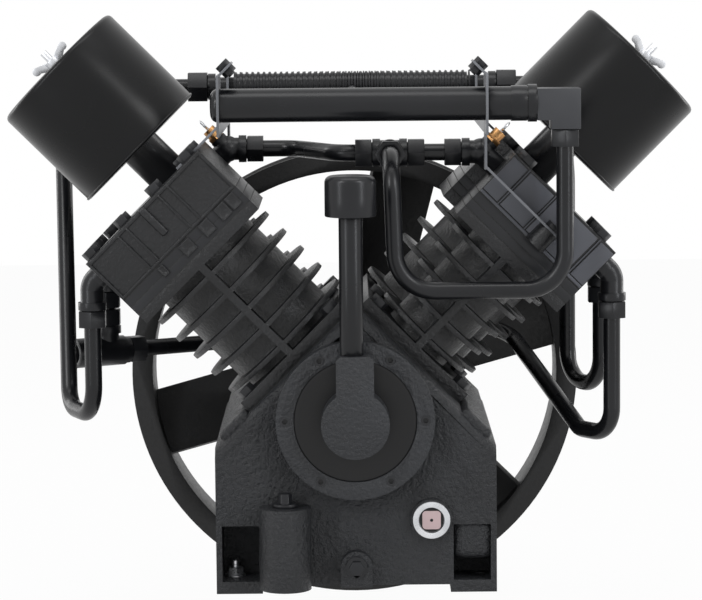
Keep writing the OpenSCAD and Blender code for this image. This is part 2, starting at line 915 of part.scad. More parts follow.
module head_plan() {
  gasket_outline(-lp_fin_r, plan_v1, block_y0, split_y);
  gasket_outline(hp_plan_v0, hp_plan_v1, split_y, block_y1);
}
module bolt_circles(r) {
  for (p = head_bolts_at) translate(p) circle(r);
}
module port_windows() {
  for (s = [-1, 1]) {
    translate([s * valve_port_v, -lp_y])
      square([4 * valve_port_r, lp_bore * window_share], center = true);
    translate([s * valve_port_v * hp_port_share, hp_y])
      square([4 * valve_port_r * hp_port_share, hp_bore * window_share], center = true);
  }
}
module head_gasket() {
  linear_extrude(gasket_t) difference() {
    head_plan();
    bolt_circles(head_bolt_r + slip);
    children();
  }
}

// Rear bearing housing, seal and main bearings
module rear_bolt_places() {
  for (i = [0:rear_bolts - 1])
    crank_axis(case_rear + rear_flange_t) rotate([0, 0, (i + 0.5) * 360 / rear_bolts])
      translate([rear_bolt_ring, 0, 0]) children();
}
module rear_bearing_housing() {
  color("#26272a") difference() {
    union() {
      crank_axis(case_rear) cylinder(r = rear_flange_r, h = rear_flange_t);
      crank_axis(rear_pocket_y)
        cylinder(r = rear_spigot_r, h = spigot_len + rear_flange_t / 2);
    }
    crank_axis(rear_pocket_y - over) cylinder(r = bearing_r + slip, h = bearing_w + over);
    crank_axis(rear_pocket_y) cylinder(r = rear_lip_r, h = bearing_w + over);
    crank_axis(rear_pocket_y) cylinder(r = journal_r + over, h = spigot_len + rear_flange_t);
    crank_axis(case_rear + rear_flange_t - seal_w)
      cylinder(r = seal_r + slip, h = seal_w + over);
    rear_bolt_places() translate([0, 0, -rear_flange_t - over])
      cylinder(r = rear_bolt_r + slip, h = rear_flange_t + 2 * over);
  }
}
module rear_housing_bolts() {
  color("#1b1b1d") rear_bolt_places() {
    mirror([0, 0, 1]) cylinder(r = rear_bolt_r, h = rear_flange_t + case_wall - over);
    hex(rear_bolt_af, rear_bolt_head);
  }
}
module rear_oil_seal() {
  color("#2a1c14") crank_axis(case_rear + rear_flange_t - seal_w)
    pipe(seal_r, journal_r + slip, seal_w);
}
module bearing_places() {
  crank_axis(front_pocket_y) children();
  crank_axis(rear_pocket_y) children();
}
module race_groove() {
  translate([0, 0, bearing_w / 2]) rotate_extrude() translate([ball_ring_r, 0])
    circle(ball_r + slip);
}
module main_bearing_outer_rings() {
  color("#b9bcc0") bearing_places() difference() {
    pipe(bearing_r, bearing_r - ring_t, bearing_w);
    race_groove();
  }
}
module main_bearing_inner_rings() {
  color("#b9bcc0") bearing_places() difference() {
    pipe(journal_r + ring_t, journal_r + slip, bearing_w);
    race_groove();
  }
}
module main_bearing_balls() {
  color("#d7d9dc") bearing_places()
    for (i = [0:balls - 1]) rotate([0, 0, i * 360 / balls])
      translate([ball_ring_r, 0, bearing_w / 2]) sphere(r = ball_r);
}

// Breather, plugs and sight glass
module breather_tube() {
  color("#232427") translate([breather_x, breather_y, crank_z + neck_top - breather_seat])
    pipe(breather_r, breather_bore_r, breather_seat + breather_h);
}
module breather_cap() {
  rim_z = crank_z + neck_top + breather_h - cap_drop;
  color("#2b2c30") translate([breather_x, breather_y, rim_z]) difference() {
    rounded_can(breather_cap_r, cap_h, cap_round);
    translate([0, 0, -over]) cylinder(r = breather_r + slip, h = cap_drop + over);
    translate([0, 0, cap_drop - over])
      cylinder(r = breather_cap_r - cap_skin, h = cap_h - cap_drop - cap_skin);
    translate([0, 0, cap_drop / 2]) from_y(-breather_cap_r - over)
      cylinder(r = cap_hole_r, h = breather_cap_r - breather_r);
  }
}
module oil_filler_plug() {
  rim = sump_lift + filler_h;
  color("#1e1f22") translate([filler_x, case_front - filler_out, rim]) {
    cylinder(r = filler_cap_r, h = filler_cap_t);
    translate([0, 0, filler_cap_t]) hex(filler_hex_af, filler_hex_h);
    translate([0, 0, -filler_plug_len]) cylinder(r = filler_bore_r - slip, h = filler_plug_len);
    translate([0, 0, -dipstick_len]) cylinder(r = dipstick_r, h = dipstick_len);
  }
}
module drain_plug() {
  color("#1e1f22") translate([0, 0, drain_z]) from_y(case_front - drain_out) {
    cylinder(r = drain_bore_r - slip, h = drain_plug_len);
    mirror([0, 0, 1]) {
      cylinder(r = drain_flange_r, h = drain_flange_t);
      hex(drain_hex_af, drain_flange_t + drain_hex_h);
    }
  }
}
module at_glass() {
  translate([glass_x, 0, glass_z]) from_y(case_front - glass_pad_out) children();
}
module sight_glass_bezel() {
  color("#9fb0bf") at_glass() difference() {
    union() {
      mirror([0, 0, 1]) cylinder(r = bezel_r, h = bezel_t);
      cylinder(r = glass_bore_r - slip, h = bezel_grip);
    }
    translate([0, 0, -bezel_t - over])
      cylinder(r = glass_r + slip, h = bezel_t + bezel_grip - bezel_lip + over);
    translate([0, 0, -bezel_t - over])
      cylinder(r = glass_r - bezel_lip, h = bezel_t + bezel_grip + 2 * over);
  }
}
module sight_glass_window() {
  color("#d9c2c6") at_glass() translate([0, 0, bezel_grip - bezel_lip - glass_t])
    cylinder(r = glass_r, h = glass_t);
}

// Cylinder blocks
module fin_plan() {
  translate([0, -lp_y]) circle(lp_fin_r);
  translate([0, hp_y]) circle(hp_fin_r);
  translate([-bridge_half, -lp_y]) square([2 * bridge_half, lp_y + hp_y]);
}
module cylinder_block() {
  first_u = flange_top_u + first_fin;
  difference() {
    union() {
      plate(-base_half, base_half, block_y0, block_y1, flange_u, base_flange_t);
      translate([0, 0, deck_u - liner_drop]) {
        translate([0, -lp_y, 0]) cylinder(r = lp_wall_r, h = top_flange_u - deck_u + liner_drop);
        translate([0, hp_y, 0]) cylinder(r = hp_wall_r, h = top_flange_u - deck_u + liner_drop);
      }
      for (i = [0:fin_count - 1]) translate([0, 0, first_u + i * fin_pitch - fin_t / 2])
        linear_extrude(fin_t) fin_plan();
      plate(-rib_w / 2, rib_w / 2, block_y0, block_y1, flange_u, top_flange_u - flange_u);
      translate([0, 0, top_flange_u]) linear_extrude(top_flange_t) head_plan();
    }
    translate([0, 0, deck_u - liner_drop - over]) {
      translate([0, -lp_y, 0]) cylinder(r = lp_r, h = block_top_u);
      translate([0, hp_y, 0]) cylinder(r = hp_r, h = block_top_u);
    }
    for (y = stud_ys, s = [-1, 1]) translate([s * stud_v, y, flange_u - over])
      cylinder(r = stud_r + slip, h = base_flange_t + 2 * over);
    translate([0, 0, top_flange_u - over])
      linear_extrude(top_flange_t + 2 * over) bolt_circles(head_bolt_r + slip);
  }
}
module left_cylinder_block() {
  color("#202124") left_bank() cylinder_block();
}
module right_cylinder_block() {
  color("#202124") right_bank() cylinder_block();
}
module cylinder_base_nuts() {
  color("#1b1b1d") both_banks() for (y = stud_ys, s = [-1, 1]) translate([s * stud_v, y, 0]) {
    translate([0, 0, deck_u - stud_grip + slip])
      cylinder(r = stud_r, h = stud_grip + gasket_t + base_flange_t + nut_h);
    translate([0, 0, flange_top_u]) hex(nut_af, nut_h);
  }
}

// Valve plates, reeds and heads
module port_holes(h) {
  for (s = [-1, 1], k = [-1, 0, 1]) {
    translate([s * valve_port_v, -lp_y + k * 3 * valve_port_r, -over])
      cylinder(r = valve_port_r, h = h + 2 * over);
    translate([s * valve_port_v * hp_port_share, hp_y + k * 3 * valve_port_r * hp_port_share, -over])
      cylinder(r = valve_port_r * hp_port_share, h = h + 2 * over);
  }
}
module valve_plates() {
  for (u = [seat_u, guard_u]) translate([0, 0, u]) difference() {
    linear_extrude(valve_plate_t) difference() {
      head_plan();
      bolt_circles(head_bolt_r + slip);
    }
    port_holes(valve_plate_t);
  }
}
module left_valve_plates() {
  color("#3b3d41") left_bank() valve_plates();
}
module right_valve_plates() {
  color("#3b3d41") right_bank() valve_plates();
}
module reed(v, y, share) {
  translate([v, y, 0]) linear_extrude(reed_t)
    square([reed_w * share, reed_len * share], center = true);
}
module reed_valves() {
  color("#8d9298") both_banks() {
    translate([0, 0, seat_u - reed_t]) {
      reed(valve_port_v, -lp_y, 1);
      reed(valve_port_v * hp_port_share, hp_y, hp_port_share);
    }
    translate([0, 0, seat_top_u]) {
      reed(-valve_port_v, -lp_y, 1);
      reed(-valve_port_v * hp_port_share, hp_y, hp_port_share);
    }
  }
}
module chamber(v0, v1, y0, y1) {
  plate(v0, v1, y0, y1, head_u - over, head_h - chamber_top + over);
}
module head() {
  lp_v = lp_fin_r - chamber_side;
  hp_v = hp_bolt_v - bolt_edge;
  difference() {
    union() {
      translate([0, 0, head_u]) linear_extrude(head_h) head_plan();
      plate(-lug_v - lug_r, -lug_v + lug_r, block_y1 - over, lug_y, head_u, lug_h);
      translate([-lug_v, lug_y, head_u]) cylinder(r = lug_r, h = lug_h);
    }
    translate([0, 0, head_u - over])
      linear_extrude(head_h + 2 * over) bolt_circles(head_bolt_r + slip);
    chamber(chamber_gap, lp_v, block_y0 + chamber_end, split_y - chamber_gap - over);
    chamber(-lp_v, -chamber_gap, block_y0 + chamber_end, split_y - chamber_gap - over);
    chamber(chamber_gap, hp_v, split_y + chamber_gap + over, block_y1 - chamber_end);
    chamber(-hp_v, -chamber_gap, split_y + chamber_gap + over, block_y1 - chamber_end);
    translate([filter_v, -filter_y, chamber_cap_u - over])
      cylinder(r = neck_bore_r, h = chamber_top + 2 * over);
    translate([-lp_v, -lp_out_y, port_u]) rotate([0, -90, 0])
      cylinder(r = elbow_bore_r, h = lp_fin_r - lp_v + over);
    translate([-hp_v, hp_out_y, port_u]) rotate([0, -90, 0])
      cylinder(r = elbow_bore_r, h = -hp_plan_v0 - hp_v + over);
    translate([hp_v, hp_y, inlet_u]) rotate([0, 90, 0])
      cylinder(r = elbow_bore_r, h = hp_plan_v1 - hp_v + over);
    translate([-lug_v, lug_y, head_u + lug_h - lug_bolt_len])
      cylinder(r = bracket_bolt_r + slip, h = lug_bolt_len + over);
    translate([strap_bolt_v, -strap_bolt_y, head_top_u - lug_bolt_len])
      cylinder(r = bracket_bolt_r + slip, h = lug_bolt_len + over);
    translate([-lp_fin_r + port_grip, -lp_out_y, port_u]) rotate([0, -90, 0])
      cylinder(r = port_grip_r + slip, h = port_grip + over);
    translate([hp_plan_v0 + port_grip, hp_out_y, port_u]) rotate([0, -90, 0])
      cylinder(r = port_grip_r + slip, h = port_grip + over);
    translate([hp_plan_v1 - port_grip, hp_y, inlet_u]) rotate([0, 90, 0])
      cylinder(r = port_grip_r + slip, h = port_grip + over);
  }
}
module left_head() {
  color("#222327") left_bank() head();
}
module right_head() {
  color("#4a4b51") right_bank() head();
}
module head_bolts() {
  grip = head_top_u - top_flange_u - over;
  color("#17181a") both_banks() for (p = head_bolts_at) translate([p[0], p[1], 0]) {
    translate([0, 0, head_top_u - grip]) cylinder(r = head_bolt_r, h = grip + over);
    translate([0, 0, head_top_u]) hex(bolt_head_af, bolt_head_h);
  }
}

// Intake filters
module filter_axis(u) {
  translate([filter_v, -filter_y, u]) children();
}
module filter_base() {
  plate_r = filter_r - filter_skin - slip;
  filter_axis(head_top_u) difference() {
    union() {
      difference() {
        union() {
          cylinder(r = neck_r, h = filter_gap + base_plate_t);
          translate([0, 0, filter_gap]) cylinder(r = plate_r, h = base_plate_t);
        }
        translate([0, 0, -over])
          cylinder(r = neck_bore_r, h = filter_gap + base_plate_t + 2 * over);
      }
      translate([-bridge_w / 2, -neck_bore_r - over, filter_gap - bridge_t])
        cube([bridge_w, 2 * (neck_bore_r + over), bridge_t]);
    }
    translate([0, 0, filter_gap - bridge_t - over])
      cylinder(r = filter_stud_r + slip, h = bridge_t + 2 * over);
    for (i = [0:air_holes - 1]) rotate([0, 0, i * 360 / air_holes])
      translate([air_hole_ring, 0, filter_gap - over])
        cylinder(r = air_hole_r, h = base_plate_t + 2 * over);
  }
}
module left_filter_base() {
  color("#1c1d20") left_bank() filter_base();
}
module right_filter_base() {
  color("#1c1d20") right_bank() filter_base();
}
module filter_element() {
  filter_axis(filter_base_u + base_plate_t)
    pipe(element_r, element_bore_r, filter_len - base_plate_t - filter_skin);
}
module left_filter_element() {
  color("#c9bda0") left_bank() filter_element();
}
module right_filter_element() {
  color("#c9bda0") right_bank() filter_element();
}
module filter_cover() {
  filter_axis(filter_base_u) difference() {
    union() {
      rounded_can(filter_r, filter_len, filter_round);
      cylinder(r = filter_r + cover_lip, h = cover_lip_h);
    }
    translate([0, 0, -over]) rounded_can(filter_r - filter_skin,
      filter_len - filter_skin + over, filter_round - filter_skin);
    cylinder(r = filter_stud_r + slip, h = filter_len + over);
  }
}
module left_filter_cover() {
  color("#1a1b1e") left_bank() filter_cover();
}
module right_filter_cover() {
  color("#1a1b1e") right_bank() filter_cover();
}
module filter_studs() {
  color("#b9bcbf") both_banks() filter_axis(filter_base_u - bridge_t)
    cylinder(r = filter_stud_r, h = bridge_t + filter_len + stud_tail);
}
module wing_nut() {
  filter_axis(filter_top_u) difference() {
    union() {
      cylinder(r = wing_r, h = wing_h);
      rotate([90, 0, 0]) linear_extrude(wing_t, center = true) for (s = [0, 1]) mirror([s, 0]) {
        polygon([
          [0, 0], [wing_r, 0], [wing_span + wing_tip_r, wing_top - wing_tip_r],
          [wing_span, wing_top], [wing_r / 2, wing_h]
        ]);
        translate([wing_span, wing_top - wing_tip_r]) circle(wing_tip_r);
      }
    }
    translate([0, 0, -over]) cylinder(r = filter_stud_r + slip, h = wing_top + 2 * over);
  }
}
module left_wing_nut() {
  color("#c4c7ca") left_bank() wing_nut();
}
module right_wing_nut() {
  color("#c4c7ca") right_bank() wing_nut();
}

// Head elbows and relief valves
module elbow(port, corner, end, d) {
  axis = unit(corner - port);
  reach = collar_len + thread_len;
  difference() {
    union() {
      along(port - port_grip * axis, axis) cylinder(r = port_grip_r, h = port_grip + over);
      rod_run([port, corner, end - reach * d], elbow_r, elbow_bend);
      along(end - (reach + seam) * d, d) {
        cylinder(r = collar_r, h = collar_len);
        cylinder(r = thread_r, h = reach + seam);
      }
      children();
    }
    rod_run([port - (port_grip + over) * axis, corner, end + over * d],
      elbow_bore_r, elbow_bend);
    along(end - socket_len * d, d) cylinder(r = tube_r + slip, h = socket_len + over);
  }
}
module bank_elbows() {
  elbow(lp_port, lp_corner, lp_end, down);
  elbow(hp_port, hp_corner, hp_end, down);
  difference() {
    elbow(inlet_port, inlet_corner, inlet_end, [1, 0, 0]) {
      translate(inlet_corner) sphere(relief_ball_r);
      along(inlet_corner, u_dir) cylinder(r = relief_boss_r, h = relief_boss_h);
    }
    along(inlet_corner, u_dir) cylinder(r = relief_shank_r + slip, h = relief_boss_h + over);
  }
}
module head_elbows() {
  color("#1d1e21") {
    bank_elbows();
    rotate([0, 0, 180]) bank_elbows();
  }
}
module relief_axis() {
  for (turn = [0, 180]) rotate([0, 0, turn])
    along(inlet_corner + relief_boss_h * u_dir, u_dir) children();
}
module relief_valves() {
  body_h = relief_hex_h + relief_barrel_h;
  color("#c39a4a") relief_axis() difference() {
    union() {
      translate([0, 0, -relief_hex_h]) cylinder(r = relief_shank_r, h = relief_hex_h + over);
      hex(relief_hex_af, relief_hex_h);
      cylinder(r = relief_barrel_r, h = body_h);
    }
    translate([0, 0, body_h - relief_stem_in - over])
      cylinder(r = relief_stem_r + slip, h = relief_stem_in + 2 * over);
  }
}
module relief_ring() {
  top = relief_hex_h + relief_barrel_h;
  along(inlet_corner + relief_boss_h * u_dir, u_dir) {
    translate([0, 0, top - relief_stem_in])
      cylinder(r = relief_stem_r, h = relief_stem_in + relief_stem_out);
    translate([0, 0, top + relief_stem_out + relief_ring_r]) rotate([90, 0, 0])
      rotate_extrude() translate([relief_ring_r, 0]) circle(relief_wire_r);
  }
}
module left_relief_ring() {
  color("#b9bcbf") relief_ring();
}
module right_relief_ring() {
  color("#b9bcbf") rotate([0, 0, 180]) relief_ring();
}

// Intercooler, manifold and manifold elbow
function fin_points(x) = [
  [cooler_core_r, x - cooler_fin_t / 2], [cooler_fin_r, x - cooler_fin_t / 2],
  [cooler_fin_r, x + cooler_fin_t / 2], [cooler_core_r, x + cooler_fin_t / 2]
];
module intercooler() {
  fins = floor(cooler_half / cooler_pitch);
  socket_at = cooler_end - socket_len - slip;
  half_points = [for (i = [-fins:fins]) each fin_points(i * cooler_pitch)];
  color("#1f2023") difference() {
    union() {
      difference() {
        translate([0, cooler_y, cooler_at]) rotate([0, 90, 0]) rotate_extrude()
          polygon(concat(
            [[0, -cooler_neck]], [[cooler_core_r, -cooler_neck]], half_points,
            [[cooler_core_r, cooler_neck]], [[0, cooler_neck]]));
        translate([0, 0, crossover_z]) from_y(-manifold_y)
          cylinder(r = crossover_r + slip, h = manifold_y + cooler_y);
      }
      cooler_axis(-cooler_neck) cylinder(r = cooler_core_r, h = 2 * cooler_neck);
      for (s = [0, 1]) mirror([s, 0, 0]) {
        cooler_axis(cooler_neck) cylinder(r = collar_r, h = collar_len);
        cooler_axis(cooler_neck)
          cylinder(r = big_thread_r, h = collar_len + thread_len);
      }
    }
    cooler_axis(-cooler_end - over) cylinder(r = cooler_bore_r, h = 2 * (cooler_end + over));
    for (s = [0, 1]) mirror([s, 0, 0])
      cooler_axis(socket_at) cylinder(r = tube_r + slip, h = socket_len + over);
    translate([0, 0, crossover_z]) from_y(cooler_y - cooler_fin_r)
      cylinder(r = crossover_bore_r, h = cooler_fin_r);
  }
}
module cooler_axis(x) {
  translate([x, cooler_y, cooler_at]) rotate([0, 90, 0]) children();
}
module manifold_axis(x) {
  translate([x, -manifold_y, manifold_at]) rotate([0, 90, 0]) children();
}
module manifold() {
  bore_r = manifold_r - manifold_wall;
  run = manifold_x1 - manifold_x0;
  color("#202125") difference() {
    union() {
      translate([manifold_x1, -manifold_y, manifold_at]) rotate([0, -90, 0])
        rounded_can(manifold_r, run, manifold_round);
      manifold_axis(sleeve_x) cylinder(r = sleeve_r, h = sleeve_len);
      manifold_axis(manifold_x1) cylinder(r = flange_r, h = flange_t);
      difference() {
        translate([0, 0, crossover_z]) from_y(-manifold_y)
          cylinder(r = crossover_r, h = manifold_y + cooler_y);
        cooler_axis(-cooler_neck) cylinder(r = cooler_core_r + slip, h = 2 * cooler_neck);
        translate([0, 0, crossover_z]) from_y(cooler_y)
          cylinder(r = cooler_fin_r, h = cooler_fin_r);
      }
    }
    translate([manifold_x1 + flange_t + over, -manifold_y, manifold_at]) rotate([0, -90, 0])
      cylinder(r = bore_r, h = run + flange_t - manifold_wall);
    translate([0, 0, crossover_z]) from_y(-manifold_y)
      cylinder(r = crossover_bore_r, h = manifold_y + cooler_y);
  }
}
module manifold_elbow() {
  x0 = manifold_x1 + flange_t;
  stub_r = manifold_r - manifold_wall - slip;
  color("#1d1e21") difference() {
    union() {
      translate([x0, -manifold_y - elbow_block_r, manifold_at - elbow_arm])
        cube([elbow_x + block_half - x0, 2 * elbow_block_r, elbow_arm + elbow_top]);
      translate([elbow_x - block_half, -manifold_y - elbow_block_r, manifold_at - elbow_low])
        cube([2 * block_half, 2 * elbow_block_r, elbow_low + elbow_top]);
      translate([elbow_x, -manifold_y, u_leg_end]) cylinder(r = thread_r, h = thread_len + over);
      manifold_axis(x0 - manifold_stub) cylinder(r = stub_r, h = manifold_stub + over);
    }
    manifold_axis(x0 - manifold_stub - over)
      cylinder(r = elbow_bore_r, h = elbow_x - x0 + manifold_stub + over);
    translate([elbow_x, -manifold_y, u_leg_end - over])
      cylinder(r = elbow_bore_r, h = manifold_at - u_leg_end + over);
    translate([elbow_x, -manifold_y, u_leg_end - over])
      cylinder(r = tube_r + slip, h = socket_len + over + slip);
  }
}

// Side brackets
module side_sheet(x) {
  translate([x, 0, 0]) multmatrix([
    [0, 0, 1, 0],
    [1, 0, 0, 0],
    [0, 1, 0, 0],
    [0, 0, 0, 1]
  ]) linear_extrude(bracket_t) children();
}
module bracket_outline(leg_y) {
  difference() {
    union() {
      translate([bracket_y0, bracket_z0])
        square([bracket_y1 - bracket_y0, bracket_z1 - bracket_z0]);
      translate([bracket_y0, bracket_z0])
        square([post_y0 - bracket_y0, post_front_z - bracket_z0]);
      translate([post_y1, bracket_z0]) square([bracket_y1 - post_y1, post_rear_z - bracket_z0]);
      translate([leg_y - leg_half, leg_z]) square([2 * leg_half, bracket_z1 - leg_z]);
    }
    translate([-manifold_y, manifold_at]) circle(manifold_r + hole_gap);
    translate([cooler_y, cooler_at]) circle(cooler_core_r + hole_gap);
  }
}
module bracket_straps() {
  low_u = head_u + lug_h;
  difference() {
    union() {
      plate(strap_v0, strap_v1, -strap_bolt_y - strap_half, -strap_bolt_y + strap_half,
        head_top_u, bracket_t);
      plate(low_strap_v0, low_strap_v1, lug_y - strap_half, lug_y + strap_half, low_u, bracket_t);
    }
    translate([strap_bolt_v, -strap_bolt_y, head_top_u - over])
      cylinder(r = bracket_bolt_r + slip, h = bracket_t + 2 * over);
    translate([-lug_v, lug_y, low_u - over])
      cylinder(r = bracket_bolt_r + slip, h = bracket_t + 2 * over);
  }
}
module tab_frame() {
  translate([-bracket_x - bracket_t, 0, post_front_z - tab_dip]) rotate([0, 45, 0]) children();
}
module bracket_tab() {
  tab_frame() difference() {
    translate([0, tab_y0, 0]) cube([bracket_t, tab_y1 - tab_y0, tab_len]);
    translate([-over, -manifold_y, tab_bolt]) rotate([0, 90, 0])
      cylinder(r = bracket_bolt_r + slip, h = bracket_t + 2 * over);
  }
}
module left_bracket() {
  color("#232427") {
    side_sheet(-bracket_x - bracket_t) bracket_outline(lug_y);
    left_bank() bracket_straps();
    bracket_tab();
  }
}
module right_bracket() {
  color("#232427") {
    side_sheet(bracket_x) bracket_outline(-lug_y);
    right_bank() bracket_straps();
    mirror([1, 0, 0]) bracket_tab();
  }
}
module bracket_bolt(grip) {
  translate([0, 0, -grip]) cylinder(r = bracket_bolt_r, h = grip + over);
  hex(bracket_bolt_af, bracket_bolt_head);
}
module bracket_bolts() {
  color("#17181a") {
    both_banks() {
      translate([strap_bolt_v, -strap_bolt_y, head_top_u + bracket_t])
        bracket_bolt(bracket_t + lug_bolt_len - slip);
      translate([-lug_v, lug_y, head_u + lug_h + bracket_t])
        bracket_bolt(bracket_t + lug_bolt_len - slip);
    }
    for (s = [0, 1]) mirror([s, 0, 0]) tab_frame()
      translate([0, -manifold_y, tab_bolt]) rotate([0, -90, 0]) {
        bracket_bolt(bracket_t + bracket_nut_h + over);
        translate([0, 0, -bracket_t - bracket_nut_h]) hex(bracket_bolt_af, bracket_nut_h);
      }
  }
}

// Pipes, tees and compression nuts
module u_tube() {
  color("#17181a") tube_run(u_points, u_bend);
}
module cross_pipe() {
  color("#17181a") {
    tube_run(left_pipe_points, discharge_bend);
    tube_run(right_pipe_points, discharge_bend);
  }
}
module cross_pipe_tee() {
  at = [tee_x, tee_y, pipe_z];
  color("#1d1e21") {
    difference() {
      union() {
        along(at - [tee_core, 0, 0], [1, 0, 0]) cylinder(r = tee_r, h = 2 * tee_core);
        along(at, [0, -1, 0]) cylinder(r = tee_r, h = tee_core);
      }
      along(at - [tee_core + over, 0, 0], [1, 0, 0])
        cylinder(r = elbow_bore_r, h = 2 * (tee_core + over));
      along(at, [0, -1, 0]) cylinder(r = elbow_bore_r, h = tee_core + over);
    }
    socket_end(tee_left_end, [-1, 0, 0], collar_r, thread_r, tube_r);
    socket_end(tee_right_end, [1, 0, 0], collar_r, thread_r, tube_r);
    socket_end(tee_front_end, [0, -1, 0], collar_r, thread_r, tube_r);
  }
}
module tube_nuts() {
  color("#1a1b1d") {
    for (n = small_nuts) tube_nut(n[0], n[1], tube_nut_af, thread_r, nut_len);
    for (n = big_nuts) tube_nut(n[0], n[1], big_nut_af, big_thread_r, big_nut_len);
  }
}
module left_first_stage_tube() {
  color("#17181a") tube_run(left_tube_points, tube_bend);
}
module right_first_stage_tube() {
  color("#17181a") tube_run(right_tube_points, tube_bend);
}
module discharge_tubes() {
  color("#17181a") {
    tube_run(discharge_points, discharge_bend);
    tube_run([hp_end + socket_up, branch_end - socket_up], discharge_bend);
  }
}
module discharge_tee() {
  color("#1d1e21") {
    difference() {
      union() {
        along(port_tee_at - port_tee_front * tee_dir, tee_dir)
          cylinder(r = port_tee_r, h = port_tee_front + port_tee_back + over);
        along(port_tee_at, [0, 0, 1]) cylinder(r = elbow_r, h = port_tee_top + over);
      }
      along(port_tee_at - (port_tee_front + over) * tee_dir, tee_dir)
        cylinder(r = outlet_r, h = outlet_len + over);
      along(port_tee_at - port_tee_front * tee_dir, tee_dir)
        cylinder(r = elbow_bore_r, h = port_tee_front + port_tee_back + 2 * over);
      along(port_tee_at, [0, 0, 1]) cylinder(r = elbow_bore_r, h = port_tee_top + 2 * over);
    }
    socket_end(branch_end, [0, 0, 1], collar_r, thread_r, tube_r);
    socket_end(run_end, tee_dir, collar_r, thread_r, tube_r);
  }
}

// Crank train
module throw_at(side) {
  rotate([0, 0, side * 90 - bank_tilt]) translate([throw, 0, 0]) children();
}
module web_outline() {
  circle(web_pin_r);
  translate([-throw - 2 * weight_cut, -web_waist / 2])
    square([throw + 2 * weight_cut, web_waist]);
  translate([-throw, 0]) intersection() {
    circle(web_r);
    translate([-web_r, -web_r]) square([web_r - weight_cut, 2 * web_r]);
  }
}
module crank_throw(side) {
  y = side * throw_y;
  half = pin_half;
  crank_axis(y - half - web_t) throw_at(side) linear_extrude(web_t) web_outline();
  crank_axis(y + half) throw_at(side) linear_extrude(web_t) web_outline();
  crank_axis(y - half - over) throw_at(side)
    cylinder(r = crankpin_r, h = 2 * (half + over));
}
module crankshaft() {
  web_out = throw_y + pin_half + web_t;
  web_in = throw_y - pin_half - web_t;
  seat_front = front_pocket_y + bearing_w;
  color("#8f9398") difference() {
    union() {
      crank_throw(-1);
      crank_throw(1);
      crank_axis(-web_in - over) cylinder(r = mid_journal_r, h = 2 * (web_in + over));
      crank_axis(seat_front) cylinder(r = shoulder_r, h = over - seat_front - web_out);
      crank_axis(web_out - over) cylinder(r = shoulder_r, h = rear_pocket_y - web_out + over);
      crank_axis(front_pocket_y) cylinder(r = journal_r, h = bearing_w + over);
      crank_axis(rear_pocket_y - over) cylinder(r = journal_r, h = hub_y - rear_pocket_y + over);
      crank_axis(hub_y - over) cylinder(r = nose_r, h = hub_back - hub_y + over);
    }
    crank_axis(hub_back - nose_bolt_len) cylinder(r = nose_bolt_r + slip, h = nose_bolt_len + over);
    crank_axis(hub_back - key_len) translate([-key_w / 2 - slip, -nose_r - over, 0])
      cube([key_w + 2 * slip, key_h / 2 + over, key_len + over]);
  }
}
module rod_shank(v, u, wrist, width) {
  lean_angle = atan2(-v, wrist - u);
  translate([v, 0, u]) rotate([0, lean_angle, 0]) translate([-width / 2, -shank_t / 2, 0])
    cube([width, shank_t, rod_len]);
}
module across(v, y, u, r, h) {
  translate([v, y - h / 2, u]) rotate([-90, 0, 0]) cylinder(r = r, h = h);
}
module big_end(v, u, wrist, y, width) {
  translate([0, y, 0]) difference() {
    union() {
      across(v, 0, u, big_end_r, rod_w);
      intersection() {
        rod_shank(v, u, wrist, width);
        across(0, 0, 0, sweep_r, rod_w);
      }
    }
    across(v, 0, u, crankpin_r + slip, rod_w + 2 * over);
  }
}
module small_end(v, u, wrist, y, width, pin_r) {
  translate([0, y, 0]) difference() {
    union() {
      across(0, 0, wrist, pin_r + small_end_add, rod_w);
      rod_shank(v, u, wrist, width);
    }
    across(0, 0, 0, sweep_r + part_gap, rod_w + 2 * over);
    across(0, 0, wrist, pin_r + slip, rod_w + 2 * over);
  }
}
side_wrist = sqrt(rod_len * rod_len - throw * throw);
module rod_big_ends() {
  color("#a3a6aa") {
    left_bank() {
      big_end(0, throw, throw + rod_len, -lp_y, shank_w);
      big_end(0, -throw, rod_len - throw, hp_y, hp_shank_w);
    }
    right_bank() {
      big_end(-throw, 0, side_wrist, -lp_y, shank_w);
      big_end(throw, 0, side_wrist, hp_y, hp_shank_w);
    }
  }
}
module connecting_rods() {
  color("#a3a6aa") {
    left_bank() {
      small_end(0, throw, throw + rod_len, -lp_y, shank_w, lp_pin_r);
      small_end(0, -throw, rod_len - throw, hp_y, hp_shank_w, hp_pin_r);
    }
    right_bank() {
      small_end(-throw, 0, side_wrist, -lp_y, shank_w, lp_pin_r);
      small_end(throw, 0, side_wrist, hp_y, hp_shank_w, hp_pin_r);
    }
  }
}
module at_pistons(lp) {
  y = lp ? -lp_y : hp_y;
  left_bank() translate([0, y, lp ? throw + rod_len : rod_len - throw]) children();
  right_bank() translate([0, y, side_wrist]) children();
}
module piston(r, pin_r) {
  outer = r - piston_gap;
  inner = outer - piston_wall;
  gap = rod_w / 2 + boss_gap;
  difference() {
    translate([0, 0, -skirt_h]) cylinder(r = outer, h = skirt_h + crown_h);
    difference() {
      translate([0, 0, -skirt_h - over])
        cylinder(r = inner, h = skirt_h + over + crown_h - crown_t);
      for (s = [0, 1]) mirror([0, s, 0]) translate([0, gap, 0]) rotate([-90, 0, 0])
        cylinder(r = pin_r + boss_add, h = inner);
    }
    across(0, 0, 0, pin_r + slip, 2 * r);
    for (i = [0:ring_count - 1])
      translate([0, 0, crown_h - ring_drop - ring_h - i * ring_step])
        pipe(r, r - ring_depth, ring_h);
  }
}
module pistons() {
  color("#b4b7ba") {
    at_pistons(true) piston(lp_r, lp_pin_r);
    at_pistons(false) piston(hp_r, hp_pin_r);
  }
}
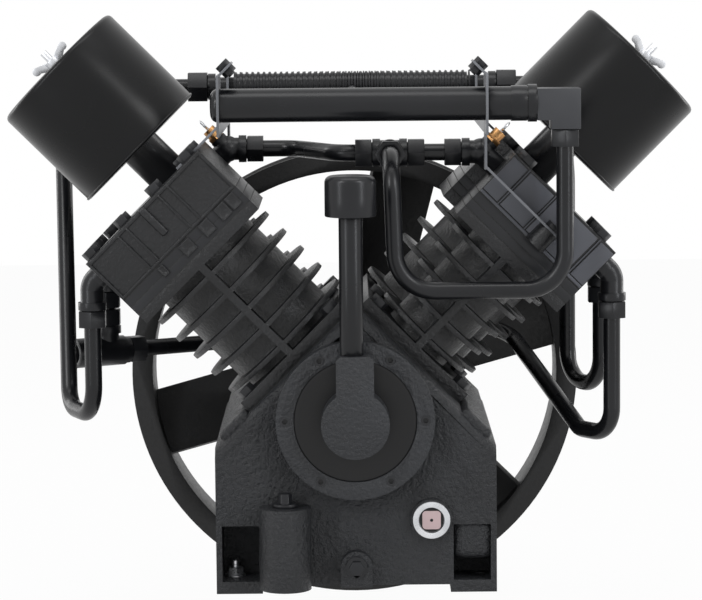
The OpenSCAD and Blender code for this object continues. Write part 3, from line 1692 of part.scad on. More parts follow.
module ring_set(r) {
  for (i = [0:ring_count - 1])
    translate([0, 0, crown_h - ring_drop - ring_h - i * ring_step + slip])
      pipe(r - slip, r - ring_depth + slip, ring_h - 2 * slip);
}
module piston_rings() {
  color("#6d7074") {
    at_pistons(true) ring_set(lp_r);
    at_pistons(false) ring_set(hp_r);
  }
}
module gudgeon_pins() {
  color("#d0d2d5") {
    at_pistons(true) across(0, 0, 0, lp_pin_r, 2 * (lp_r - pin_short));
    at_pistons(false) across(0, 0, 0, hp_pin_r, 2 * (hp_r - pin_short));
  }
}

// Flywheel
module rim_profile() {
  inner = flywheel_r - rim_t;
  middle = rim_w / 2;
  difference() {
    translate([inner, 0]) square([rim_t, rim_w]);
    for (i = [0:groove_count - 1]) {
      y = middle + (i - (groove_count - 1) / 2) * groove_pitch;
      polygon([
        [flywheel_r, y - groove_top / 2], [flywheel_r - groove_depth, y - groove_foot / 2],
        [flywheel_r - groove_depth, y + groove_foot / 2], [flywheel_r, y + groove_top / 2],
        [flywheel_r + over, y + groove_top / 2], [flywheel_r + over, y - groove_top / 2]
      ]);
    }
  }
}
module blade() {
  start = wheel_hub_r - blade_t;
  end = flywheel_r - rim_t + over;
  translate([start, 0, rim_w / 2]) rotate([blade_tilt, 0, 0])
    translate([0, -blade_w / 2, -blade_t / 2]) cube([end - start, blade_w, blade_t]);
}
module flywheel() {
  color("#2a2b2e") difference() {
    union() {
      crank_axis(flywheel_front) rotate_extrude() rim_profile();
      crank_axis(hub_y) cylinder(r = wheel_hub_r, h = hub_back - hub_y);
      crank_axis(flywheel_front) for (i = [0:blade_count - 1])
        rotate([0, 0, -blade_start - i * 360 / blade_count]) blade();
    }
    crank_axis(hub_y - over) cylinder(r = nose_r + slip, h = hub_back - hub_y + 2 * over);
    crank_axis(hub_y - over) translate([-key_w / 2 - slip, -nose_r - key_h / 2 - slip, 0])
      cube([key_w + 2 * slip, key_h, hub_back - hub_y + 2 * over]);
  }
}
module flywheel_fasteners() {
  color("#b9bcbf") {
    crank_axis(hub_back) difference() {
      cylinder(r = washer_r, h = washer_t);
      translate([0, 0, -over]) cylinder(r = nose_bolt_r + slip, h = washer_t + 2 * over);
    }
    crank_axis(hub_back - nose_bolt_len + over)
      cylinder(r = nose_bolt_r, h = nose_bolt_len + washer_t);
    crank_axis(hub_back + washer_t + slip) hex(nose_bolt_af, nose_bolt_head);
    crank_axis(hub_back - key_len) translate([-key_w / 2, -nose_r - key_h / 2, 0])
      cube([key_w, key_h, key_len - slip]);
  }
}

// Sub-parts shown by the choice of node
crankcase();
front_cover();
front_cover_bolts();
rear_bearing_housing();
rear_housing_bolts();
rear_oil_seal();
gaskets();
main_bearing_outer_rings();
main_bearing_inner_rings();
main_bearing_balls();
breather_tube();
breather_cap();
oil_filler_plug();
drain_plug();
sight_glass_bezel();
sight_glass_window();
left_cylinder_block();
right_cylinder_block();
cylinder_base_nuts();
left_valve_plates();
right_valve_plates();
reed_valves();
left_head();
right_head();
head_bolts();
left_filter_base();
right_filter_base();
left_filter_element();
right_filter_element();
left_filter_cover();
right_filter_cover();
filter_studs();
left_wing_nut();
right_wing_nut();
head_elbows();
relief_valves();
left_relief_ring();
right_relief_ring();
intercooler();
manifold();
manifold_elbow();
left_bracket();
right_bracket();
bracket_bolts();
u_tube();
cross_pipe();
cross_pipe_tee();
tube_nuts();
left_first_stage_tube();
right_first_stage_tube();
discharge_tubes();
discharge_tee();
crankshaft();
rod_big_ends();
connecting_rods();
pistons();
piston_rings();
gudgeon_pins();
flywheel();
flywheel_fasteners();
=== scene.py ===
import bpy
import json
import math
from mathutils import Matrix, Vector

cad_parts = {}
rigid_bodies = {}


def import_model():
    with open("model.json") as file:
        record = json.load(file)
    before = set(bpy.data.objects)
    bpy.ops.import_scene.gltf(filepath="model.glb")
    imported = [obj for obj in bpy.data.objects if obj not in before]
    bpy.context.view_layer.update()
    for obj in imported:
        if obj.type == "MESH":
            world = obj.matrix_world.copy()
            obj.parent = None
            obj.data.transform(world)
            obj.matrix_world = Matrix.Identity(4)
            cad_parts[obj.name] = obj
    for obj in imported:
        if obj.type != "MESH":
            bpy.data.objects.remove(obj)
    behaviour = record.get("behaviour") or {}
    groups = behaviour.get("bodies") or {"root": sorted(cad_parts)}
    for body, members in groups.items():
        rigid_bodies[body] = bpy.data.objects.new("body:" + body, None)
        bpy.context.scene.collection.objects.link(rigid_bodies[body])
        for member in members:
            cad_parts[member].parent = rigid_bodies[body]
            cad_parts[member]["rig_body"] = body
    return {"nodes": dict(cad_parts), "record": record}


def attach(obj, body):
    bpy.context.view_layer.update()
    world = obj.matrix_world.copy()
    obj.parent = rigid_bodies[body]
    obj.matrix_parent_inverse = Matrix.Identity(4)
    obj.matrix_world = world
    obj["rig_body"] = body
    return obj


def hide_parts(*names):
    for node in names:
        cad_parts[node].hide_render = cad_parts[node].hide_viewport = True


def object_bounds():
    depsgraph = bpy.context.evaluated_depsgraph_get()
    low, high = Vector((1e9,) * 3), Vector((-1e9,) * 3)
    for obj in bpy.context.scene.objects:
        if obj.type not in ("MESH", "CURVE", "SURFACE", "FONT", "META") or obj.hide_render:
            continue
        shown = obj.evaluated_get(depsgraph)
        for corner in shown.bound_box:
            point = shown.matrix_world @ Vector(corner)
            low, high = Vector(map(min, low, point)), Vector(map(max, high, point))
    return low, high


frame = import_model()
cad_low, cad_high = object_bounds()

# Height of the crankshaft, and the frame of each bank: x across the head, z along the bores
SHAFT_Z = 0.18
LEFT_BANK = Matrix.Translation((0, 0, SHAFT_Z)) @ Matrix.Rotation(math.radians(-45), 4, "Y")
RIGHT_BANK = Matrix.Rotation(math.pi, 4, "Z") @ LEFT_BANK
BANKS = {"left": LEFT_BANK, "right": RIGHT_BANK}
slot_of = {part["node"]: part["material_slot"] for part in frame["record"]["subparts"]}

# Angles in degrees below which a surface is shaded smooth
SMOOTH_CAST = 38
SMOOTH_TURNED = 32

# Quarter turns that lay a turned piece along the pump's x or y
ALONG_X = Matrix.Rotation(math.pi / 2, 4, "Y")
ALONG_Y = Matrix.Rotation(math.pi / 2, 4, "X")


# Camera, as fitted to the photo
CAMERA_TARGET = (-0.0032, 0.005, 0.28244)
CAMERA_DISTANCE = 3.2
CAMERA_PITCH = 6.358
CAMERA_ROLL = -0.55


def place_camera():
    lens = bpy.data.cameras.new("camera")
    lens.sensor_width = 36
    lens.lens = 154.1
    lens.clip_end = 40
    camera = bpy.data.objects.new("camera", lens)
    bpy.context.scene.collection.objects.link(camera)
    target = Vector(CAMERA_TARGET)
    down = math.radians(CAMERA_PITCH)
    camera.location = target + Vector((0, -math.cos(down), math.sin(down))) * CAMERA_DISTANCE
    aim = (target - camera.location).to_track_quat("-Z", "Y").to_matrix()
    roll = Matrix.Rotation(math.radians(CAMERA_ROLL), 3, "Z")
    camera.rotation_euler = (aim @ roll).to_euler()
    bpy.context.scene.camera = camera


# Finishes: two tones of a colour, an uneven gloss and a raised skin
def start_finish(name):
    mat = bpy.data.materials.new(name)
    mat.use_nodes = True
    tree = mat.node_tree
    shader = tree.nodes["Principled BSDF"]
    place = tree.nodes.new("ShaderNodeTexCoord")
    return mat, tree, shader, place


def cloud(tree, place, scale, detail):
    noise = tree.nodes.new("ShaderNodeTexNoise")
    noise.inputs["Scale"].default_value = scale
    noise.inputs["Detail"].default_value = detail
    tree.links.new(place.outputs["Object"], noise.inputs["Vector"])
    return noise


def two_tone(tree, noise, shader, dark, light):
    ramp = tree.nodes.new("ShaderNodeValToRGB")
    first, last = ramp.color_ramp.elements
    first.position, last.position = 0.35, 0.7
    first.color, last.color = (*dark, 1), (*light, 1)
    tree.links.new(noise.outputs["Fac"], ramp.inputs["Fac"])
    tree.links.new(ramp.outputs["Color"], shader.inputs["Base Color"])


def uneven_gloss(tree, noise, shader, low, high):
    spread = tree.nodes.new("ShaderNodeMapRange")
    spread.inputs["From Min"].default_value = 0.3
    spread.inputs["From Max"].default_value = 0.7
    spread.inputs["To Min"].default_value = low
    spread.inputs["To Max"].default_value = high
    tree.links.new(noise.outputs["Fac"], spread.inputs["Value"])
    tree.links.new(spread.outputs["Result"], shader.inputs["Roughness"])


def raised(tree, shader, heights):
    last = None
    for noise, depth, strength in heights:
        bump = tree.nodes.new("ShaderNodeBump")
        bump.inputs["Distance"].default_value = depth
        bump.inputs["Strength"].default_value = strength
        tree.links.new(noise.outputs["Fac"], bump.inputs["Height"])
        if last:
            tree.links.new(last.outputs["Normal"], bump.inputs["Normal"])
        last = bump
    tree.links.new(last.outputs["Normal"], shader.inputs["Normal"])


def sand_cast_paint(name, dark, light, low, high, depth):
    mat, tree, shader, place = start_finish(name)
    patches = cloud(tree, place, 14, 3)
    skin = cloud(tree, place, 260, 6)
    sand = cloud(tree, place, 900, 3)
    two_tone(tree, patches, shader, dark, light)
    uneven_gloss(tree, skin, shader, low, high)
    raised(tree, shader, [(skin, depth, 0.8), (sand, depth * 0.4, 0.6)])
    shader.inputs["Specular IOR Level"].default_value = 0.4
    return mat


def smooth_paint(name, dark, light, low, high, depth=0.00006, metallic=0.0, shine=0.34):
    mat, tree, shader, place = start_finish(name)
    patches = cloud(tree, place, 9, 3)
    orange_peel = cloud(tree, place, 420, 2)
    two_tone(tree, patches, shader, dark, light)
    uneven_gloss(tree, patches, shader, low, high)
    raised(tree, shader, [(orange_peel, depth, 0.35)])
    shader.inputs["Metallic"].default_value = metallic
    shader.inputs["Specular IOR Level"].default_value = shine
    return mat


def bare_metal(name, dark, light, low, high):
    mat, tree, shader, place = start_finish(name)
    patches = cloud(tree, place, 60, 4)
    grain = cloud(tree, place, 700, 3)
    two_tone(tree, patches, shader, dark, light)
    uneven_gloss(tree, grain, shader, low, high)
    raised(tree, shader, [(grain, 0.00004, 0.4)])
    shader.inputs["Metallic"].default_value = 1.0
    return mat


def soft_stock(name, dark, light, rough):
    mat, tree, shader, place = start_finish(name)
    fibre = cloud(tree, place, 500, 5)
    two_tone(tree, fibre, shader, dark, light)
    raised(tree, shader, [(fibre, 0.0001, 0.6)])
    shader.inputs["Roughness"].default_value = rough
    return mat


# Each row: maker, name, dark tone, light tone, then the gloss and what else that maker takes
FINISHES = {row[1]: row[0](*row[1:]) for row in (
    (sand_cast_paint, "black_casting", (0.006, 0.0062, 0.007), (0.011, 0.0114, 0.0128),
     0.28, 0.44, 0.0012),
    (smooth_paint, "black_steel", (0.006, 0.0063, 0.0075), (0.01, 0.0105, 0.0125), 0.24, 0.33),
    (smooth_paint, "black_fittings", (0.009, 0.0094, 0.011), (0.015, 0.0157, 0.018), 0.26, 0.38),
    (smooth_paint, "dark_bolts", (0.014, 0.0144, 0.016), (0.024, 0.0247, 0.027), 0.28, 0.4),
    (smooth_paint, "plate_steel", (0.012, 0.0124, 0.014), (0.02, 0.0206, 0.023), 0.34, 0.46),
    (bare_metal, "zinc", (0.55, 0.56, 0.58), (0.74, 0.75, 0.77), 0.24, 0.4),
    (bare_metal, "ground_steel", (0.5, 0.5, 0.51), (0.62, 0.62, 0.63), 0.2, 0.3),
    (bare_metal, "forged_steel", (0.2, 0.2, 0.2), (0.32, 0.31, 0.3), 0.4, 0.6),
    (bare_metal, "piston_alloy", (0.6, 0.61, 0.62), (0.72, 0.73, 0.74), 0.3, 0.45),
    (bare_metal, "brass", (0.44, 0.22, 0.09), (0.6, 0.34, 0.14), 0.26, 0.42),
    (soft_stock, "gasket_fibre", (0.01, 0.01, 0.01), (0.03, 0.03, 0.028), 0.85),
    (soft_stock, "seal_rubber", (0.006, 0.006, 0.006), (0.014, 0.014, 0.014), 0.6),
    (soft_stock, "filter_paper", (0.5, 0.42, 0.28), (0.62, 0.54, 0.38), 0.9),
    (smooth_paint, "sight_glass", (0.5, 0.36, 0.36), (0.66, 0.5, 0.5), 0.1, 0.2),
)}

# Finishes of single pieces, beside the one that their slot has
CRANKCASE_SKIN = sand_cast_paint(
    "crankcase_skin", (0.01, 0.0107, 0.0124), (0.018, 0.0193, 0.022), 0.28, 0.5, 0.0045)
COVER_SKIN = sand_cast_paint(
    "cover_skin", (0.014, 0.015, 0.0172), (0.024, 0.0257, 0.0294), 0.28, 0.48, 0.003)
FLYWHEEL_SKIN = sand_cast_paint(
    "flywheel_skin", (0.0018, 0.0018, 0.002), (0.0034, 0.0034, 0.0038), 0.42, 0.56, 0.0003)
CANISTER = smooth_paint(
    "canister_paint", (0.004, 0.0041, 0.0044), (0.0056, 0.0057, 0.0062), 0.26, 0.31, shine=0.22)
BRACKET_STEEL = smooth_paint(
    "bracket_steel", (0.15, 0.155, 0.165), (0.2, 0.205, 0.22), 0.35, 0.45, 0.00004, 0.4)
BLOCK_PAINT = smooth_paint(
    "block_paint", (0.038, 0.0391, 0.0426), (0.058, 0.0595, 0.064), 0.34, 0.42)
# The black casting in a mid grey for the smooth second stage panels: a painted highlight where
# they face the lamps
HEAD_PANEL_HIGHLIGHT = smooth_paint(
    "head_panel_highlight_paint", (0.085, 0.0875, 0.099), (0.11, 0.1135, 0.128), 0.34, 0.44)
# Near black: painted shade at the bottom of recesses (the front cover's ring, the sight glass
# well), and the dark dot on the sight glass lens
SHADE_AND_DARK_MARK = smooth_paint(
    "recess_shade_and_mark_paint", (0.0025, 0.0025, 0.0028), (0.0045, 0.0045, 0.005), 0.32, 0.42)


# Making helpers
def deselect():
    if bpy.context.object and bpy.context.object.mode != "OBJECT":
        bpy.ops.object.mode_set(mode="OBJECT")
    bpy.ops.object.select_all(action="DESELECT")


def pick(piece):
    deselect()
    piece.select_set(True)
    bpy.context.view_layer.objects.active = piece


def finish_piece(piece, body, slot, material=None, nodes=()):
    piece.data.materials.clear()
    piece.data.materials.append(material or FINISHES[slot])
    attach(piece, body)
    if nodes:
        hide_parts(*nodes)


def choose_edges(piece, wanted):
    pick(piece)
    bpy.context.tool_settings.mesh_select_mode = (False, True, False)
    for group in (piece.data.vertices, piece.data.polygons):
        for item in group:
            item.select = False
    for edge in piece.data.edges:
        a, b = (piece.data.vertices[i].co for i in edge.vertices)
        edge.select = wanted(a, b)
    bpy.ops.object.mode_set(mode="EDIT")


def round_edges(piece, width, segments=2, angle=32):
    pick(piece)
    bevel = piece.modifiers.new("edge", "BEVEL")
    bevel.width = width
    bevel.segments = segments
    bevel.limit_method = "ANGLE"
    bevel.angle_limit = math.radians(angle)
    bevel.use_clamp_overlap = True
    bpy.ops.object.modifier_apply(modifier="edge")
    bpy.ops.object.shade_smooth_by_angle(angle=math.radians(SMOOTH_CAST))


# A node's own solid with its edges rounded, in that node's stead
def dressed(node, width, material=None, angle=32, shaping=None):
    source = frame["nodes"][node]
    piece = source.copy()
    piece.data = source.data.copy()
    piece.name = node + "_finished"
    piece.data.name = piece.name
    piece.parent = None
    for key in list(piece.keys()):
        del piece[key]
    bpy.context.scene.collection.objects.link(piece)
    pick(piece)
    if piece.data.has_custom_normals:
        bpy.ops.mesh.customdata_custom_splitnormals_clear()
    bpy.ops.object.mode_set(mode="EDIT")
    bpy.ops.mesh.select_all(action="SELECT")
    bpy.ops.mesh.remove_doubles(threshold=0.00001)
    bpy.ops.mesh.dissolve_limited(angle_limit=math.radians(0.5))
    bpy.ops.object.mode_set(mode="OBJECT")
    if shaping:
        shaping(piece)
    if width:
        round_edges(piece, width, 2, angle)
    else:
        bpy.ops.object.shade_smooth_by_angle(angle=math.radians(SMOOTH_CAST))
    finish_piece(piece, source["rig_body"], slot_of[node], material, [node])


def into_place(piece, matrix):
    pick(piece)
    piece.matrix_world = matrix
    bpy.ops.object.transform_apply(location=True, rotation=True, scale=True)
    return piece


# A round piece from its outline, given as pairs of radius and height
def turned(name, outline, sides):
    deselect()
    radius, height = outline[0]
    bpy.ops.mesh.primitive_circle_add(
        vertices=sides, radius=radius, fill_type="NGON", location=(0, 0, 0))
    piece = bpy.context.object
    piece.name = name
    bpy.ops.object.mode_set(mode="EDIT")
    bpy.ops.mesh.select_all(action="SELECT")
    bpy.ops.transform.translate(value=(0, 0, height))
    for r, z in outline[1:]:
        bpy.ops.mesh.extrude_region_move(TRANSFORM_OT_translate={"value": (0, 0, z - height)})
        k = r / radius
        bpy.ops.transform.resize(value=(k, k, 1), center_override=(0, 0, z))
        radius, height = r, z
    bpy.ops.mesh.select_all(action="SELECT")
    bpy.ops.mesh.normals_make_consistent(inside=False)
    bpy.ops.object.mode_set(mode="OBJECT")
    bpy.ops.object.shade_smooth_by_angle(angle=math.radians(SMOOTH_TURNED))
    return piece


# A box between two corners with rounded edges, and with wider upright corners where asked
def block(name, low, high, width, segments=2, corner=0):
    deselect()
    size = [b - a for a, b in zip(low, high)]
    middle = [(a + b) / 2 for a, b in zip(low, high)]
    bpy.ops.mesh.primitive_cube_add(size=1, location=middle, scale=size)
    piece = bpy.context.object
    piece.name = name
    bpy.ops.object.transform_apply(location=True, rotation=True, scale=True)
    if corner:
        same = 1e-6
        choose_edges(piece, lambda a, b: abs(a.x - b.x) < same and abs(a.y - b.y) < same)
        bpy.ops.mesh.bevel(offset=corner, segments=5)
        bpy.ops.object.mode_set(mode="OBJECT")
    round_edges(piece, width, segments, 50 if corner else 32)
    return piece


def joined(name, parts):
    deselect()
    for part in parts:
        part.select_set(True)
    bpy.context.view_layer.objects.active = parts[0]
    bpy.ops.object.join()
    parts[0].name = name
    return parts[0]


# Points of an arc, angles in degrees
def arc(cx, cz, r, start, stop, steps):
    out = []
    for i in range(steps + 1):
        a = math.radians(start + (stop - start) * i / steps)
        out.append((cx + r * math.cos(a), cz + r * math.sin(a)))
    return out


# Broad rounding on the crankcase's front outline: its upright sides and both cylinder decks
def soften_front(piece):
    near = 0.0006
    deck_height = 0.08
    front_y = -0.1595
    above_feet = 0.069
    side_x = 0.1425

    def deck(p):
        return abs((abs(p.x) + p.z - SHAFT_Z) / math.sqrt(2) - deck_height) < near

    def outline(a, b):
        front = a.y < front_y and b.y < front_y and min(a.z, b.z) > above_feet
        side = abs(a.x) > side_x and abs(b.x) > side_x
        return front and (side or (deck(a) and deck(b)))

    choose_edges(piece, outline)
    bpy.ops.mesh.bevel(offset=0.010, segments=6, clamp_overlap=True)
    bpy.ops.object.mode_set(mode="OBJECT")


# Castings, sheet pieces and fittings: the width of the rounding on their edges
dressed("crankcase", 0.0014, CRANKCASE_SKIN, 40, soften_front)
dressed("front_cover", 0.0016, COVER_SKIN)
for side in BANKS:
    dressed(side + "_cylinder_block", 0.0014)
    dressed(side + "_head", 0.0014)
    dressed(side + "_valve_plates", 0.0005)
    dressed(side + "_bracket", 0.0004, BRACKET_STEEL)
    dressed(side + "_filter_base", 0.0006)
    dressed(side + "_wing_nut", 0.0004)
dressed("flywheel", 0.0015, FLYWHEEL_SKIN)
dressed("manifold_elbow", 0.0014, BLOCK_PAINT)
for node, width in {
    "rear_bearing_housing": 0.0012,
    "front_cover_bolts": 0.0005,
    "rear_housing_bolts": 0.0006,
    "oil_filler_plug": 0.0006,
    "drain_plug": 0.0006,
    "cylinder_base_nuts": 0.0006,
    "head_bolts": 0.0007,
    "filter_studs": 0.0004,
    "relief_valves": 0.0004,
    "head_elbows": 0.0005,
    "intercooler": 0.0003,
    "manifold": 0.0006,
    "bracket_bolts": 0.0005,
    "cross_pipe_tee": 0.0008,
    "tube_nuts": 0.0007,
    "discharge_tee": 0.0007,
    "flywheel_fasteners": 0.0006,
    "breather_tube": 0.0004,
    "u_tube": 0,
    "cross_pipe": 0,
    "left_first_stage_tube": 0,
    "right_first_stage_tube": 0,
    "discharge_tubes": 0,
    "left_relief_ring": 0,
    "right_relief_ring": 0,
    "sight_glass_bezel": 0.0006,
}.items():
    dressed(node, width)


# Filter covers: a drawn can with a rolled rim at its open end and a dished top
FILTER_AXIS = (0.033, -0.028, 0)


def filter_cover(side):
    outline = [(0.0245, 0.353), (0.07, 0.353), (0.0728, 0.3515), (0.0742, 0.3482),
               (0.0755, 0.3472)]
    outline += arc(0.0766, 0.3488, 0.0015, -70, 80, 6)
    outline += [(0.0770, 0.3512), (0.0770, 0.39), (0.0770, 0.43)]
    outline += arc(0.0715, 0.4635, 0.0055, 0, 90, 8)
    outline += [(0.066, 0.469), (0.063, 0.4684), (0.0615, 0.4672), (0.03, 0.4676),
                (0.0125, 0.469), (0.011, 0.469)]
    piece = turned(side + "_filter_canister", outline, 128)
    into_place(piece, BANKS[side] @ Matrix.Translation(FILTER_AXIS))
    finish_piece(piece, "pump", "black_steel", CANISTER, [side + "_filter_cover"])


for side in BANKS:
    filter_cover(side)


# Close ribs of the intercooler
INTERCOOLER_MIDDLE = (0, 0.118, 0.506)
RIBS_START, RIBS_STOP, RIB_PITCH = -0.1285, 0.124, 0.0062
RIB_OUTLINE = ((0.0156, 0.0004), (0.0158, 0.0016), (0.0156, 0.0029), (0.0142, 0.0033),
               (0.0139, 0.0047), (0.0142, 0.0061))


def intercooler_ribs():
    outline, x = [(0.0142, RIBS_START)], RIBS_START
    while x < RIBS_STOP:
        outline += [(r, x + step) for r, step in RIB_OUTLINE]
        x += RIB_PITCH
    ribs = turned("intercooler_ribs", outline, 40)
    into_place(ribs, Matrix.Translation(INTERCOOLER_MIDDLE) @ ALONG_X)
    finish_piece(ribs, "pump", "black_steel")


intercooler_ribs()


# Breather cap: a pressed hood with a rolled lower rim
BREATHER_AXIS = (-0.003, -0.1925, 0)


def breather_cap():
    outline = [(0.0123, 0.402), (0.0225, 0.402), (0.0236, 0.3895), (0.0242, 0.3882),
               (0.0252, 0.3885), (0.0257, 0.3895), (0.0257, 0.405), (0.0257, 0.419)]
    outline += arc(0.0187, 0.4222, 0.007, 5, 88, 8)
    outline += [(0.01, 0.4294), (0.003, 0.42945)]
    piece = turned("breather_hood", outline, 64)
    into_place(piece, Matrix.Translation(BREATHER_AXIS))
    finish_piece(piece, "pump", slot_of["breather_cap"], FINISHES["black_fittings"],
                 ["breather_cap"])


breather_cap()


# Front of a head's first stage end: thin ribs, a bolt column and beads round the edge.
# Both tables give name, low corner, high corner, rounding and its steps, in the bank's frame
FIRST_STAGE_BOXES = [
    ("rib", (v - 0.0011, -0.1490, 0.2540), (v + 0.0011, -0.1462, 0.3030), 0.0006, 2)
    for v in (-0.0368, -0.0252, 0.0215, 0.0350)
] + [
    ("column", (-0.0050, -0.1512, 0.2670), (0.0035, -0.1460, 0.3042), 0.0036, 4),
    ("bead", (-0.0795, -0.1488, 0.2990), (0.0825, -0.1460, 0.3032), 0.0010, 3),
    ("foot_bead", (-0.0795, -0.1484, 0.2515), (0.0825, -0.1460, 0.2545), 0.0008, 2),
    ("edge_left", (-0.0798, -0.1486, 0.2520), (-0.0765, -0.1460, 0.3030), 0.0008, 2),
    ("edge_right", (0.0790, -0.1486, 0.2520), (0.0828, -0.1460, 0.3030), 0.0012, 2),
]

# Front of its second stage end: smooth panels with a ridge between them
SECOND_STAGE_BOXES = [
    ("panel", (v0, 0.1010, 0.2560), (v1, 0.1044, 0.3012), 0.0007, 2)
    for v0, v1 in ((0.0475, 0.0672), (0.0098, 0.0432), (-0.0532, 0.0058), (-0.0762, -0.0585))
] + [
    ("ridge", (v - 0.0006, 0.1010, 0.2545), (v + 0.0006, 0.1040, 0.3028), 0.0004, 2)
    for v in (0.0453, 0.0078, -0.0562)
] + [
    ("foot_bead", (-0.0764, 0.1010, 0.2518), (0.0676, 0.1046, 0.2550), 0.0008, 2),
]


def boxes_on_head(name, boxes, side, material=None):
    group = joined(name, [block(*box) for box in boxes])
    into_place(group, BANKS[side])
    finish_piece(group, "pump", "black_casting", material)


# Pads on the valve plates: place across, place along the bore, width and height in millimetres
PLATE_LUGS = ((4.8, 242, 15, 15), (32.8, 242, 14, 16), (-29.6, 243, 8, 12), (56, 242, 14, 16),
              (70.5, 242, 12, 16))
LUG_OUT = 0.0026
LUG_SINK = 0.0014
PLATE_FRONT_Y = -0.1470
LUG_ROOT_Y = -0.1450


def lug(name, v, u, wide, tall):
    base = block(name, (v - wide / 2, PLATE_FRONT_Y - LUG_OUT, u - tall / 2),
                 (v + wide / 2, LUG_ROOT_Y, u + tall / 2), 0.0010, 3)
    pick(base)
    bpy.context.tool_settings.mesh_select_mode = (False, False, True)
    bpy.ops.object.mode_set(mode="EDIT")
    bpy.ops.mesh.select_all(action="DESELECT")
    bpy.ops.object.mode_set(mode="OBJECT")
    front = max(base.data.polygons, key=lambda f: (f.normal.y < -0.99) * f.area)
    front.select = True
    bpy.ops.object.mode_set(mode="EDIT")
    bpy.ops.mesh.inset(thickness=wide * 0.12)
    bpy.ops.transform.translate(value=(0, LUG_SINK, 0))
    bpy.ops.object.mode_set(mode="OBJECT")
    return base


def plate_lugs(side):
    parts = [lug("lug_%d" % i, *(size / 1000 for size in row))
             for i, row in enumerate(PLATE_LUGS)]
    lugs = joined(side + "_plate_lugs", parts)
    into_place(lugs, BANKS[side])
    finish_piece(lugs, "pump", "black_casting")


for side in BANKS:
    boxes_on_head(side + "_head_front_ribs", FIRST_STAGE_BOXES, side)
    plate_lugs(side)
    # The second stage panels take the mid grey: a painted highlight on the black casting
    boxes_on_head(side + "_head_panels", SECOND_STAGE_BOXES, side, HEAD_PANEL_HIGHLIGHT)


# Rounded shoulders of the crankcase beyond the cylinder flanges
def shoulders():
    parts = []
    for side, turn in BANKS.items():
        bar = block(side + "_shoulder", (-0.1125, -0.1540, 0.0700), (-0.0735, 0.1540, 0.0865),
                    0.0055, 5)
        parts.append(into_place(bar, turn))
    both = joined("crankcase_shoulders", parts)
    finish_piece(both, "pump", "black_casting", CRANKCASE_SKIN)


shoulders()


# Machined ring at the bottom of the front cover's recess, painted near black as the shade in
# that recess
RECESS_FACE_Y = -0.1777


def cover_recess():
    outline = [(0.0621, 0), (0.0621, 0.0006), (0.0615, 0.0009), (0.058, 0.0009)]
    ring = turned("cover_recess_face", outline, 96)
    into_place(ring, Matrix.Translation((0, RECESS_FACE_Y, SHAFT_Z)) @ ALONG_Y)
    finish_piece(ring, "pump", "black_casting", SHADE_AND_DARK_MARK)


cover_recess()


# Oil sight glass: its ring, a well painted near black as shade round the lens, the
# square-cornered lens and the dot on it
SIGHT_GLASS_FACE = Matrix.Translation((0.0765, -0.166, 0.076)) @ ALONG_Y
LENS_HALF = 0.0094


def sight_glass():
    outline = [(0.0186, -0.002), (0.0190, 0.0004), (0.0190, 0.0022), (0.0184, 0.0029),
               (0.0172, 0.0030), (0.0165, 0.0024), (0.0158, 0.0024), (0.0152, 0.0029),
               (0.0138, 0.0029), (0.0131, 0.0022), (0.0128, 0.0006), (0.0127, 0.0002)]
    bezel = turned("sight_glass_ring", outline, 96)
    into_place(bezel, SIGHT_GLASS_FACE)
    finish_piece(bezel, "pump", "zinc", None, ["sight_glass_bezel"])
    # The well takes the near black: painted shade round the lens
    outline = [(0.0126, -0.001), (0.0126, 0.0004), (0.0122, 0.0008), (0.0118, 0.0008)]
    well = turned("sight_glass_well", outline, 64)
    into_place(well, SIGHT_GLASS_FACE)
    finish_piece(well, "pump", "seal_rubber", SHADE_AND_DARK_MARK)
    lens = block("sight_glass_lens", (-LENS_HALF, -LENS_HALF, 0.0004),
                 (LENS_HALF, LENS_HALF, 0.0024), 0.0004, 2, 0.0036)
    into_place(lens, SIGHT_GLASS_FACE)
    finish_piece(lens, "pump", "sight_glass", None, ["sight_glass_window"])
    outline = [(0.0016, 0.0022), (0.0016, 0.0026), (0.0013, 0.0027), (0.0008, 0.0027)]
    dot = turned("sight_glass_mark", outline, 24)
    into_place(dot, SIGHT_GLASS_FACE)
    finish_piece(dot, "pump", "seal_rubber", SHADE_AND_DARK_MARK)


sight_glass()


# Zinc nut, washer and stud on the left front foot
FOOT_STUD_PLACE = (-0.1250, -0.1270, 0)
NUT_TURN = 12


def foot_fixing():
    outline = [(0.0105, 0.0125), (0.0109, 0.0129), (0.0109, 0.0139), (0.0104, 0.0143),
               (0.006, 0.0143)]
    washer = turned("washer", outline, 48)
    outline = [(0.0074, 0.0141), (0.0086, 0.0147), (0.0087, 0.0215), (0.0075, 0.0222),
               (0.0045, 0.0222)]
    nut = turned("nut", outline, 6)
    outline = [(0.0040, 0.018), (0.0040, 0.0240), (0.0036, 0.0245), (0.0040, 0.0250),
               (0.0040, 0.0285), (0.0031, 0.0296), (0.0015, 0.0296)]
    stud = turned("stud", outline, 32)
    fixing = joined("foot_nut_and_stud", [washer, nut, stud])
    turn = Matrix.Rotation(math.radians(NUT_TURN), 4, "Z")
    into_place(fixing, Matrix.Translation(FOOT_STUD_PLACE) @ turn)
    finish_piece(fixing, "pump", "zinc")


foot_fixing()


# Soft bulge over the right front foot
def foot_bulge():
    bulge = block("foot_bulge", (0.0975, -0.1575, 0.0330), (0.1405, -0.1200, 0.0760), 0.0110, 6)
    finish_piece(bulge, "pump", "black_casting", CRANKCASE_SKIN)


foot_bulge()


# The slot's finish on every node, which shows where no piece stands for it
for name, node in frame["nodes"].items():
    node.data.materials.clear()
    node.data.materials.append(FINISHES[slot_of[name]])


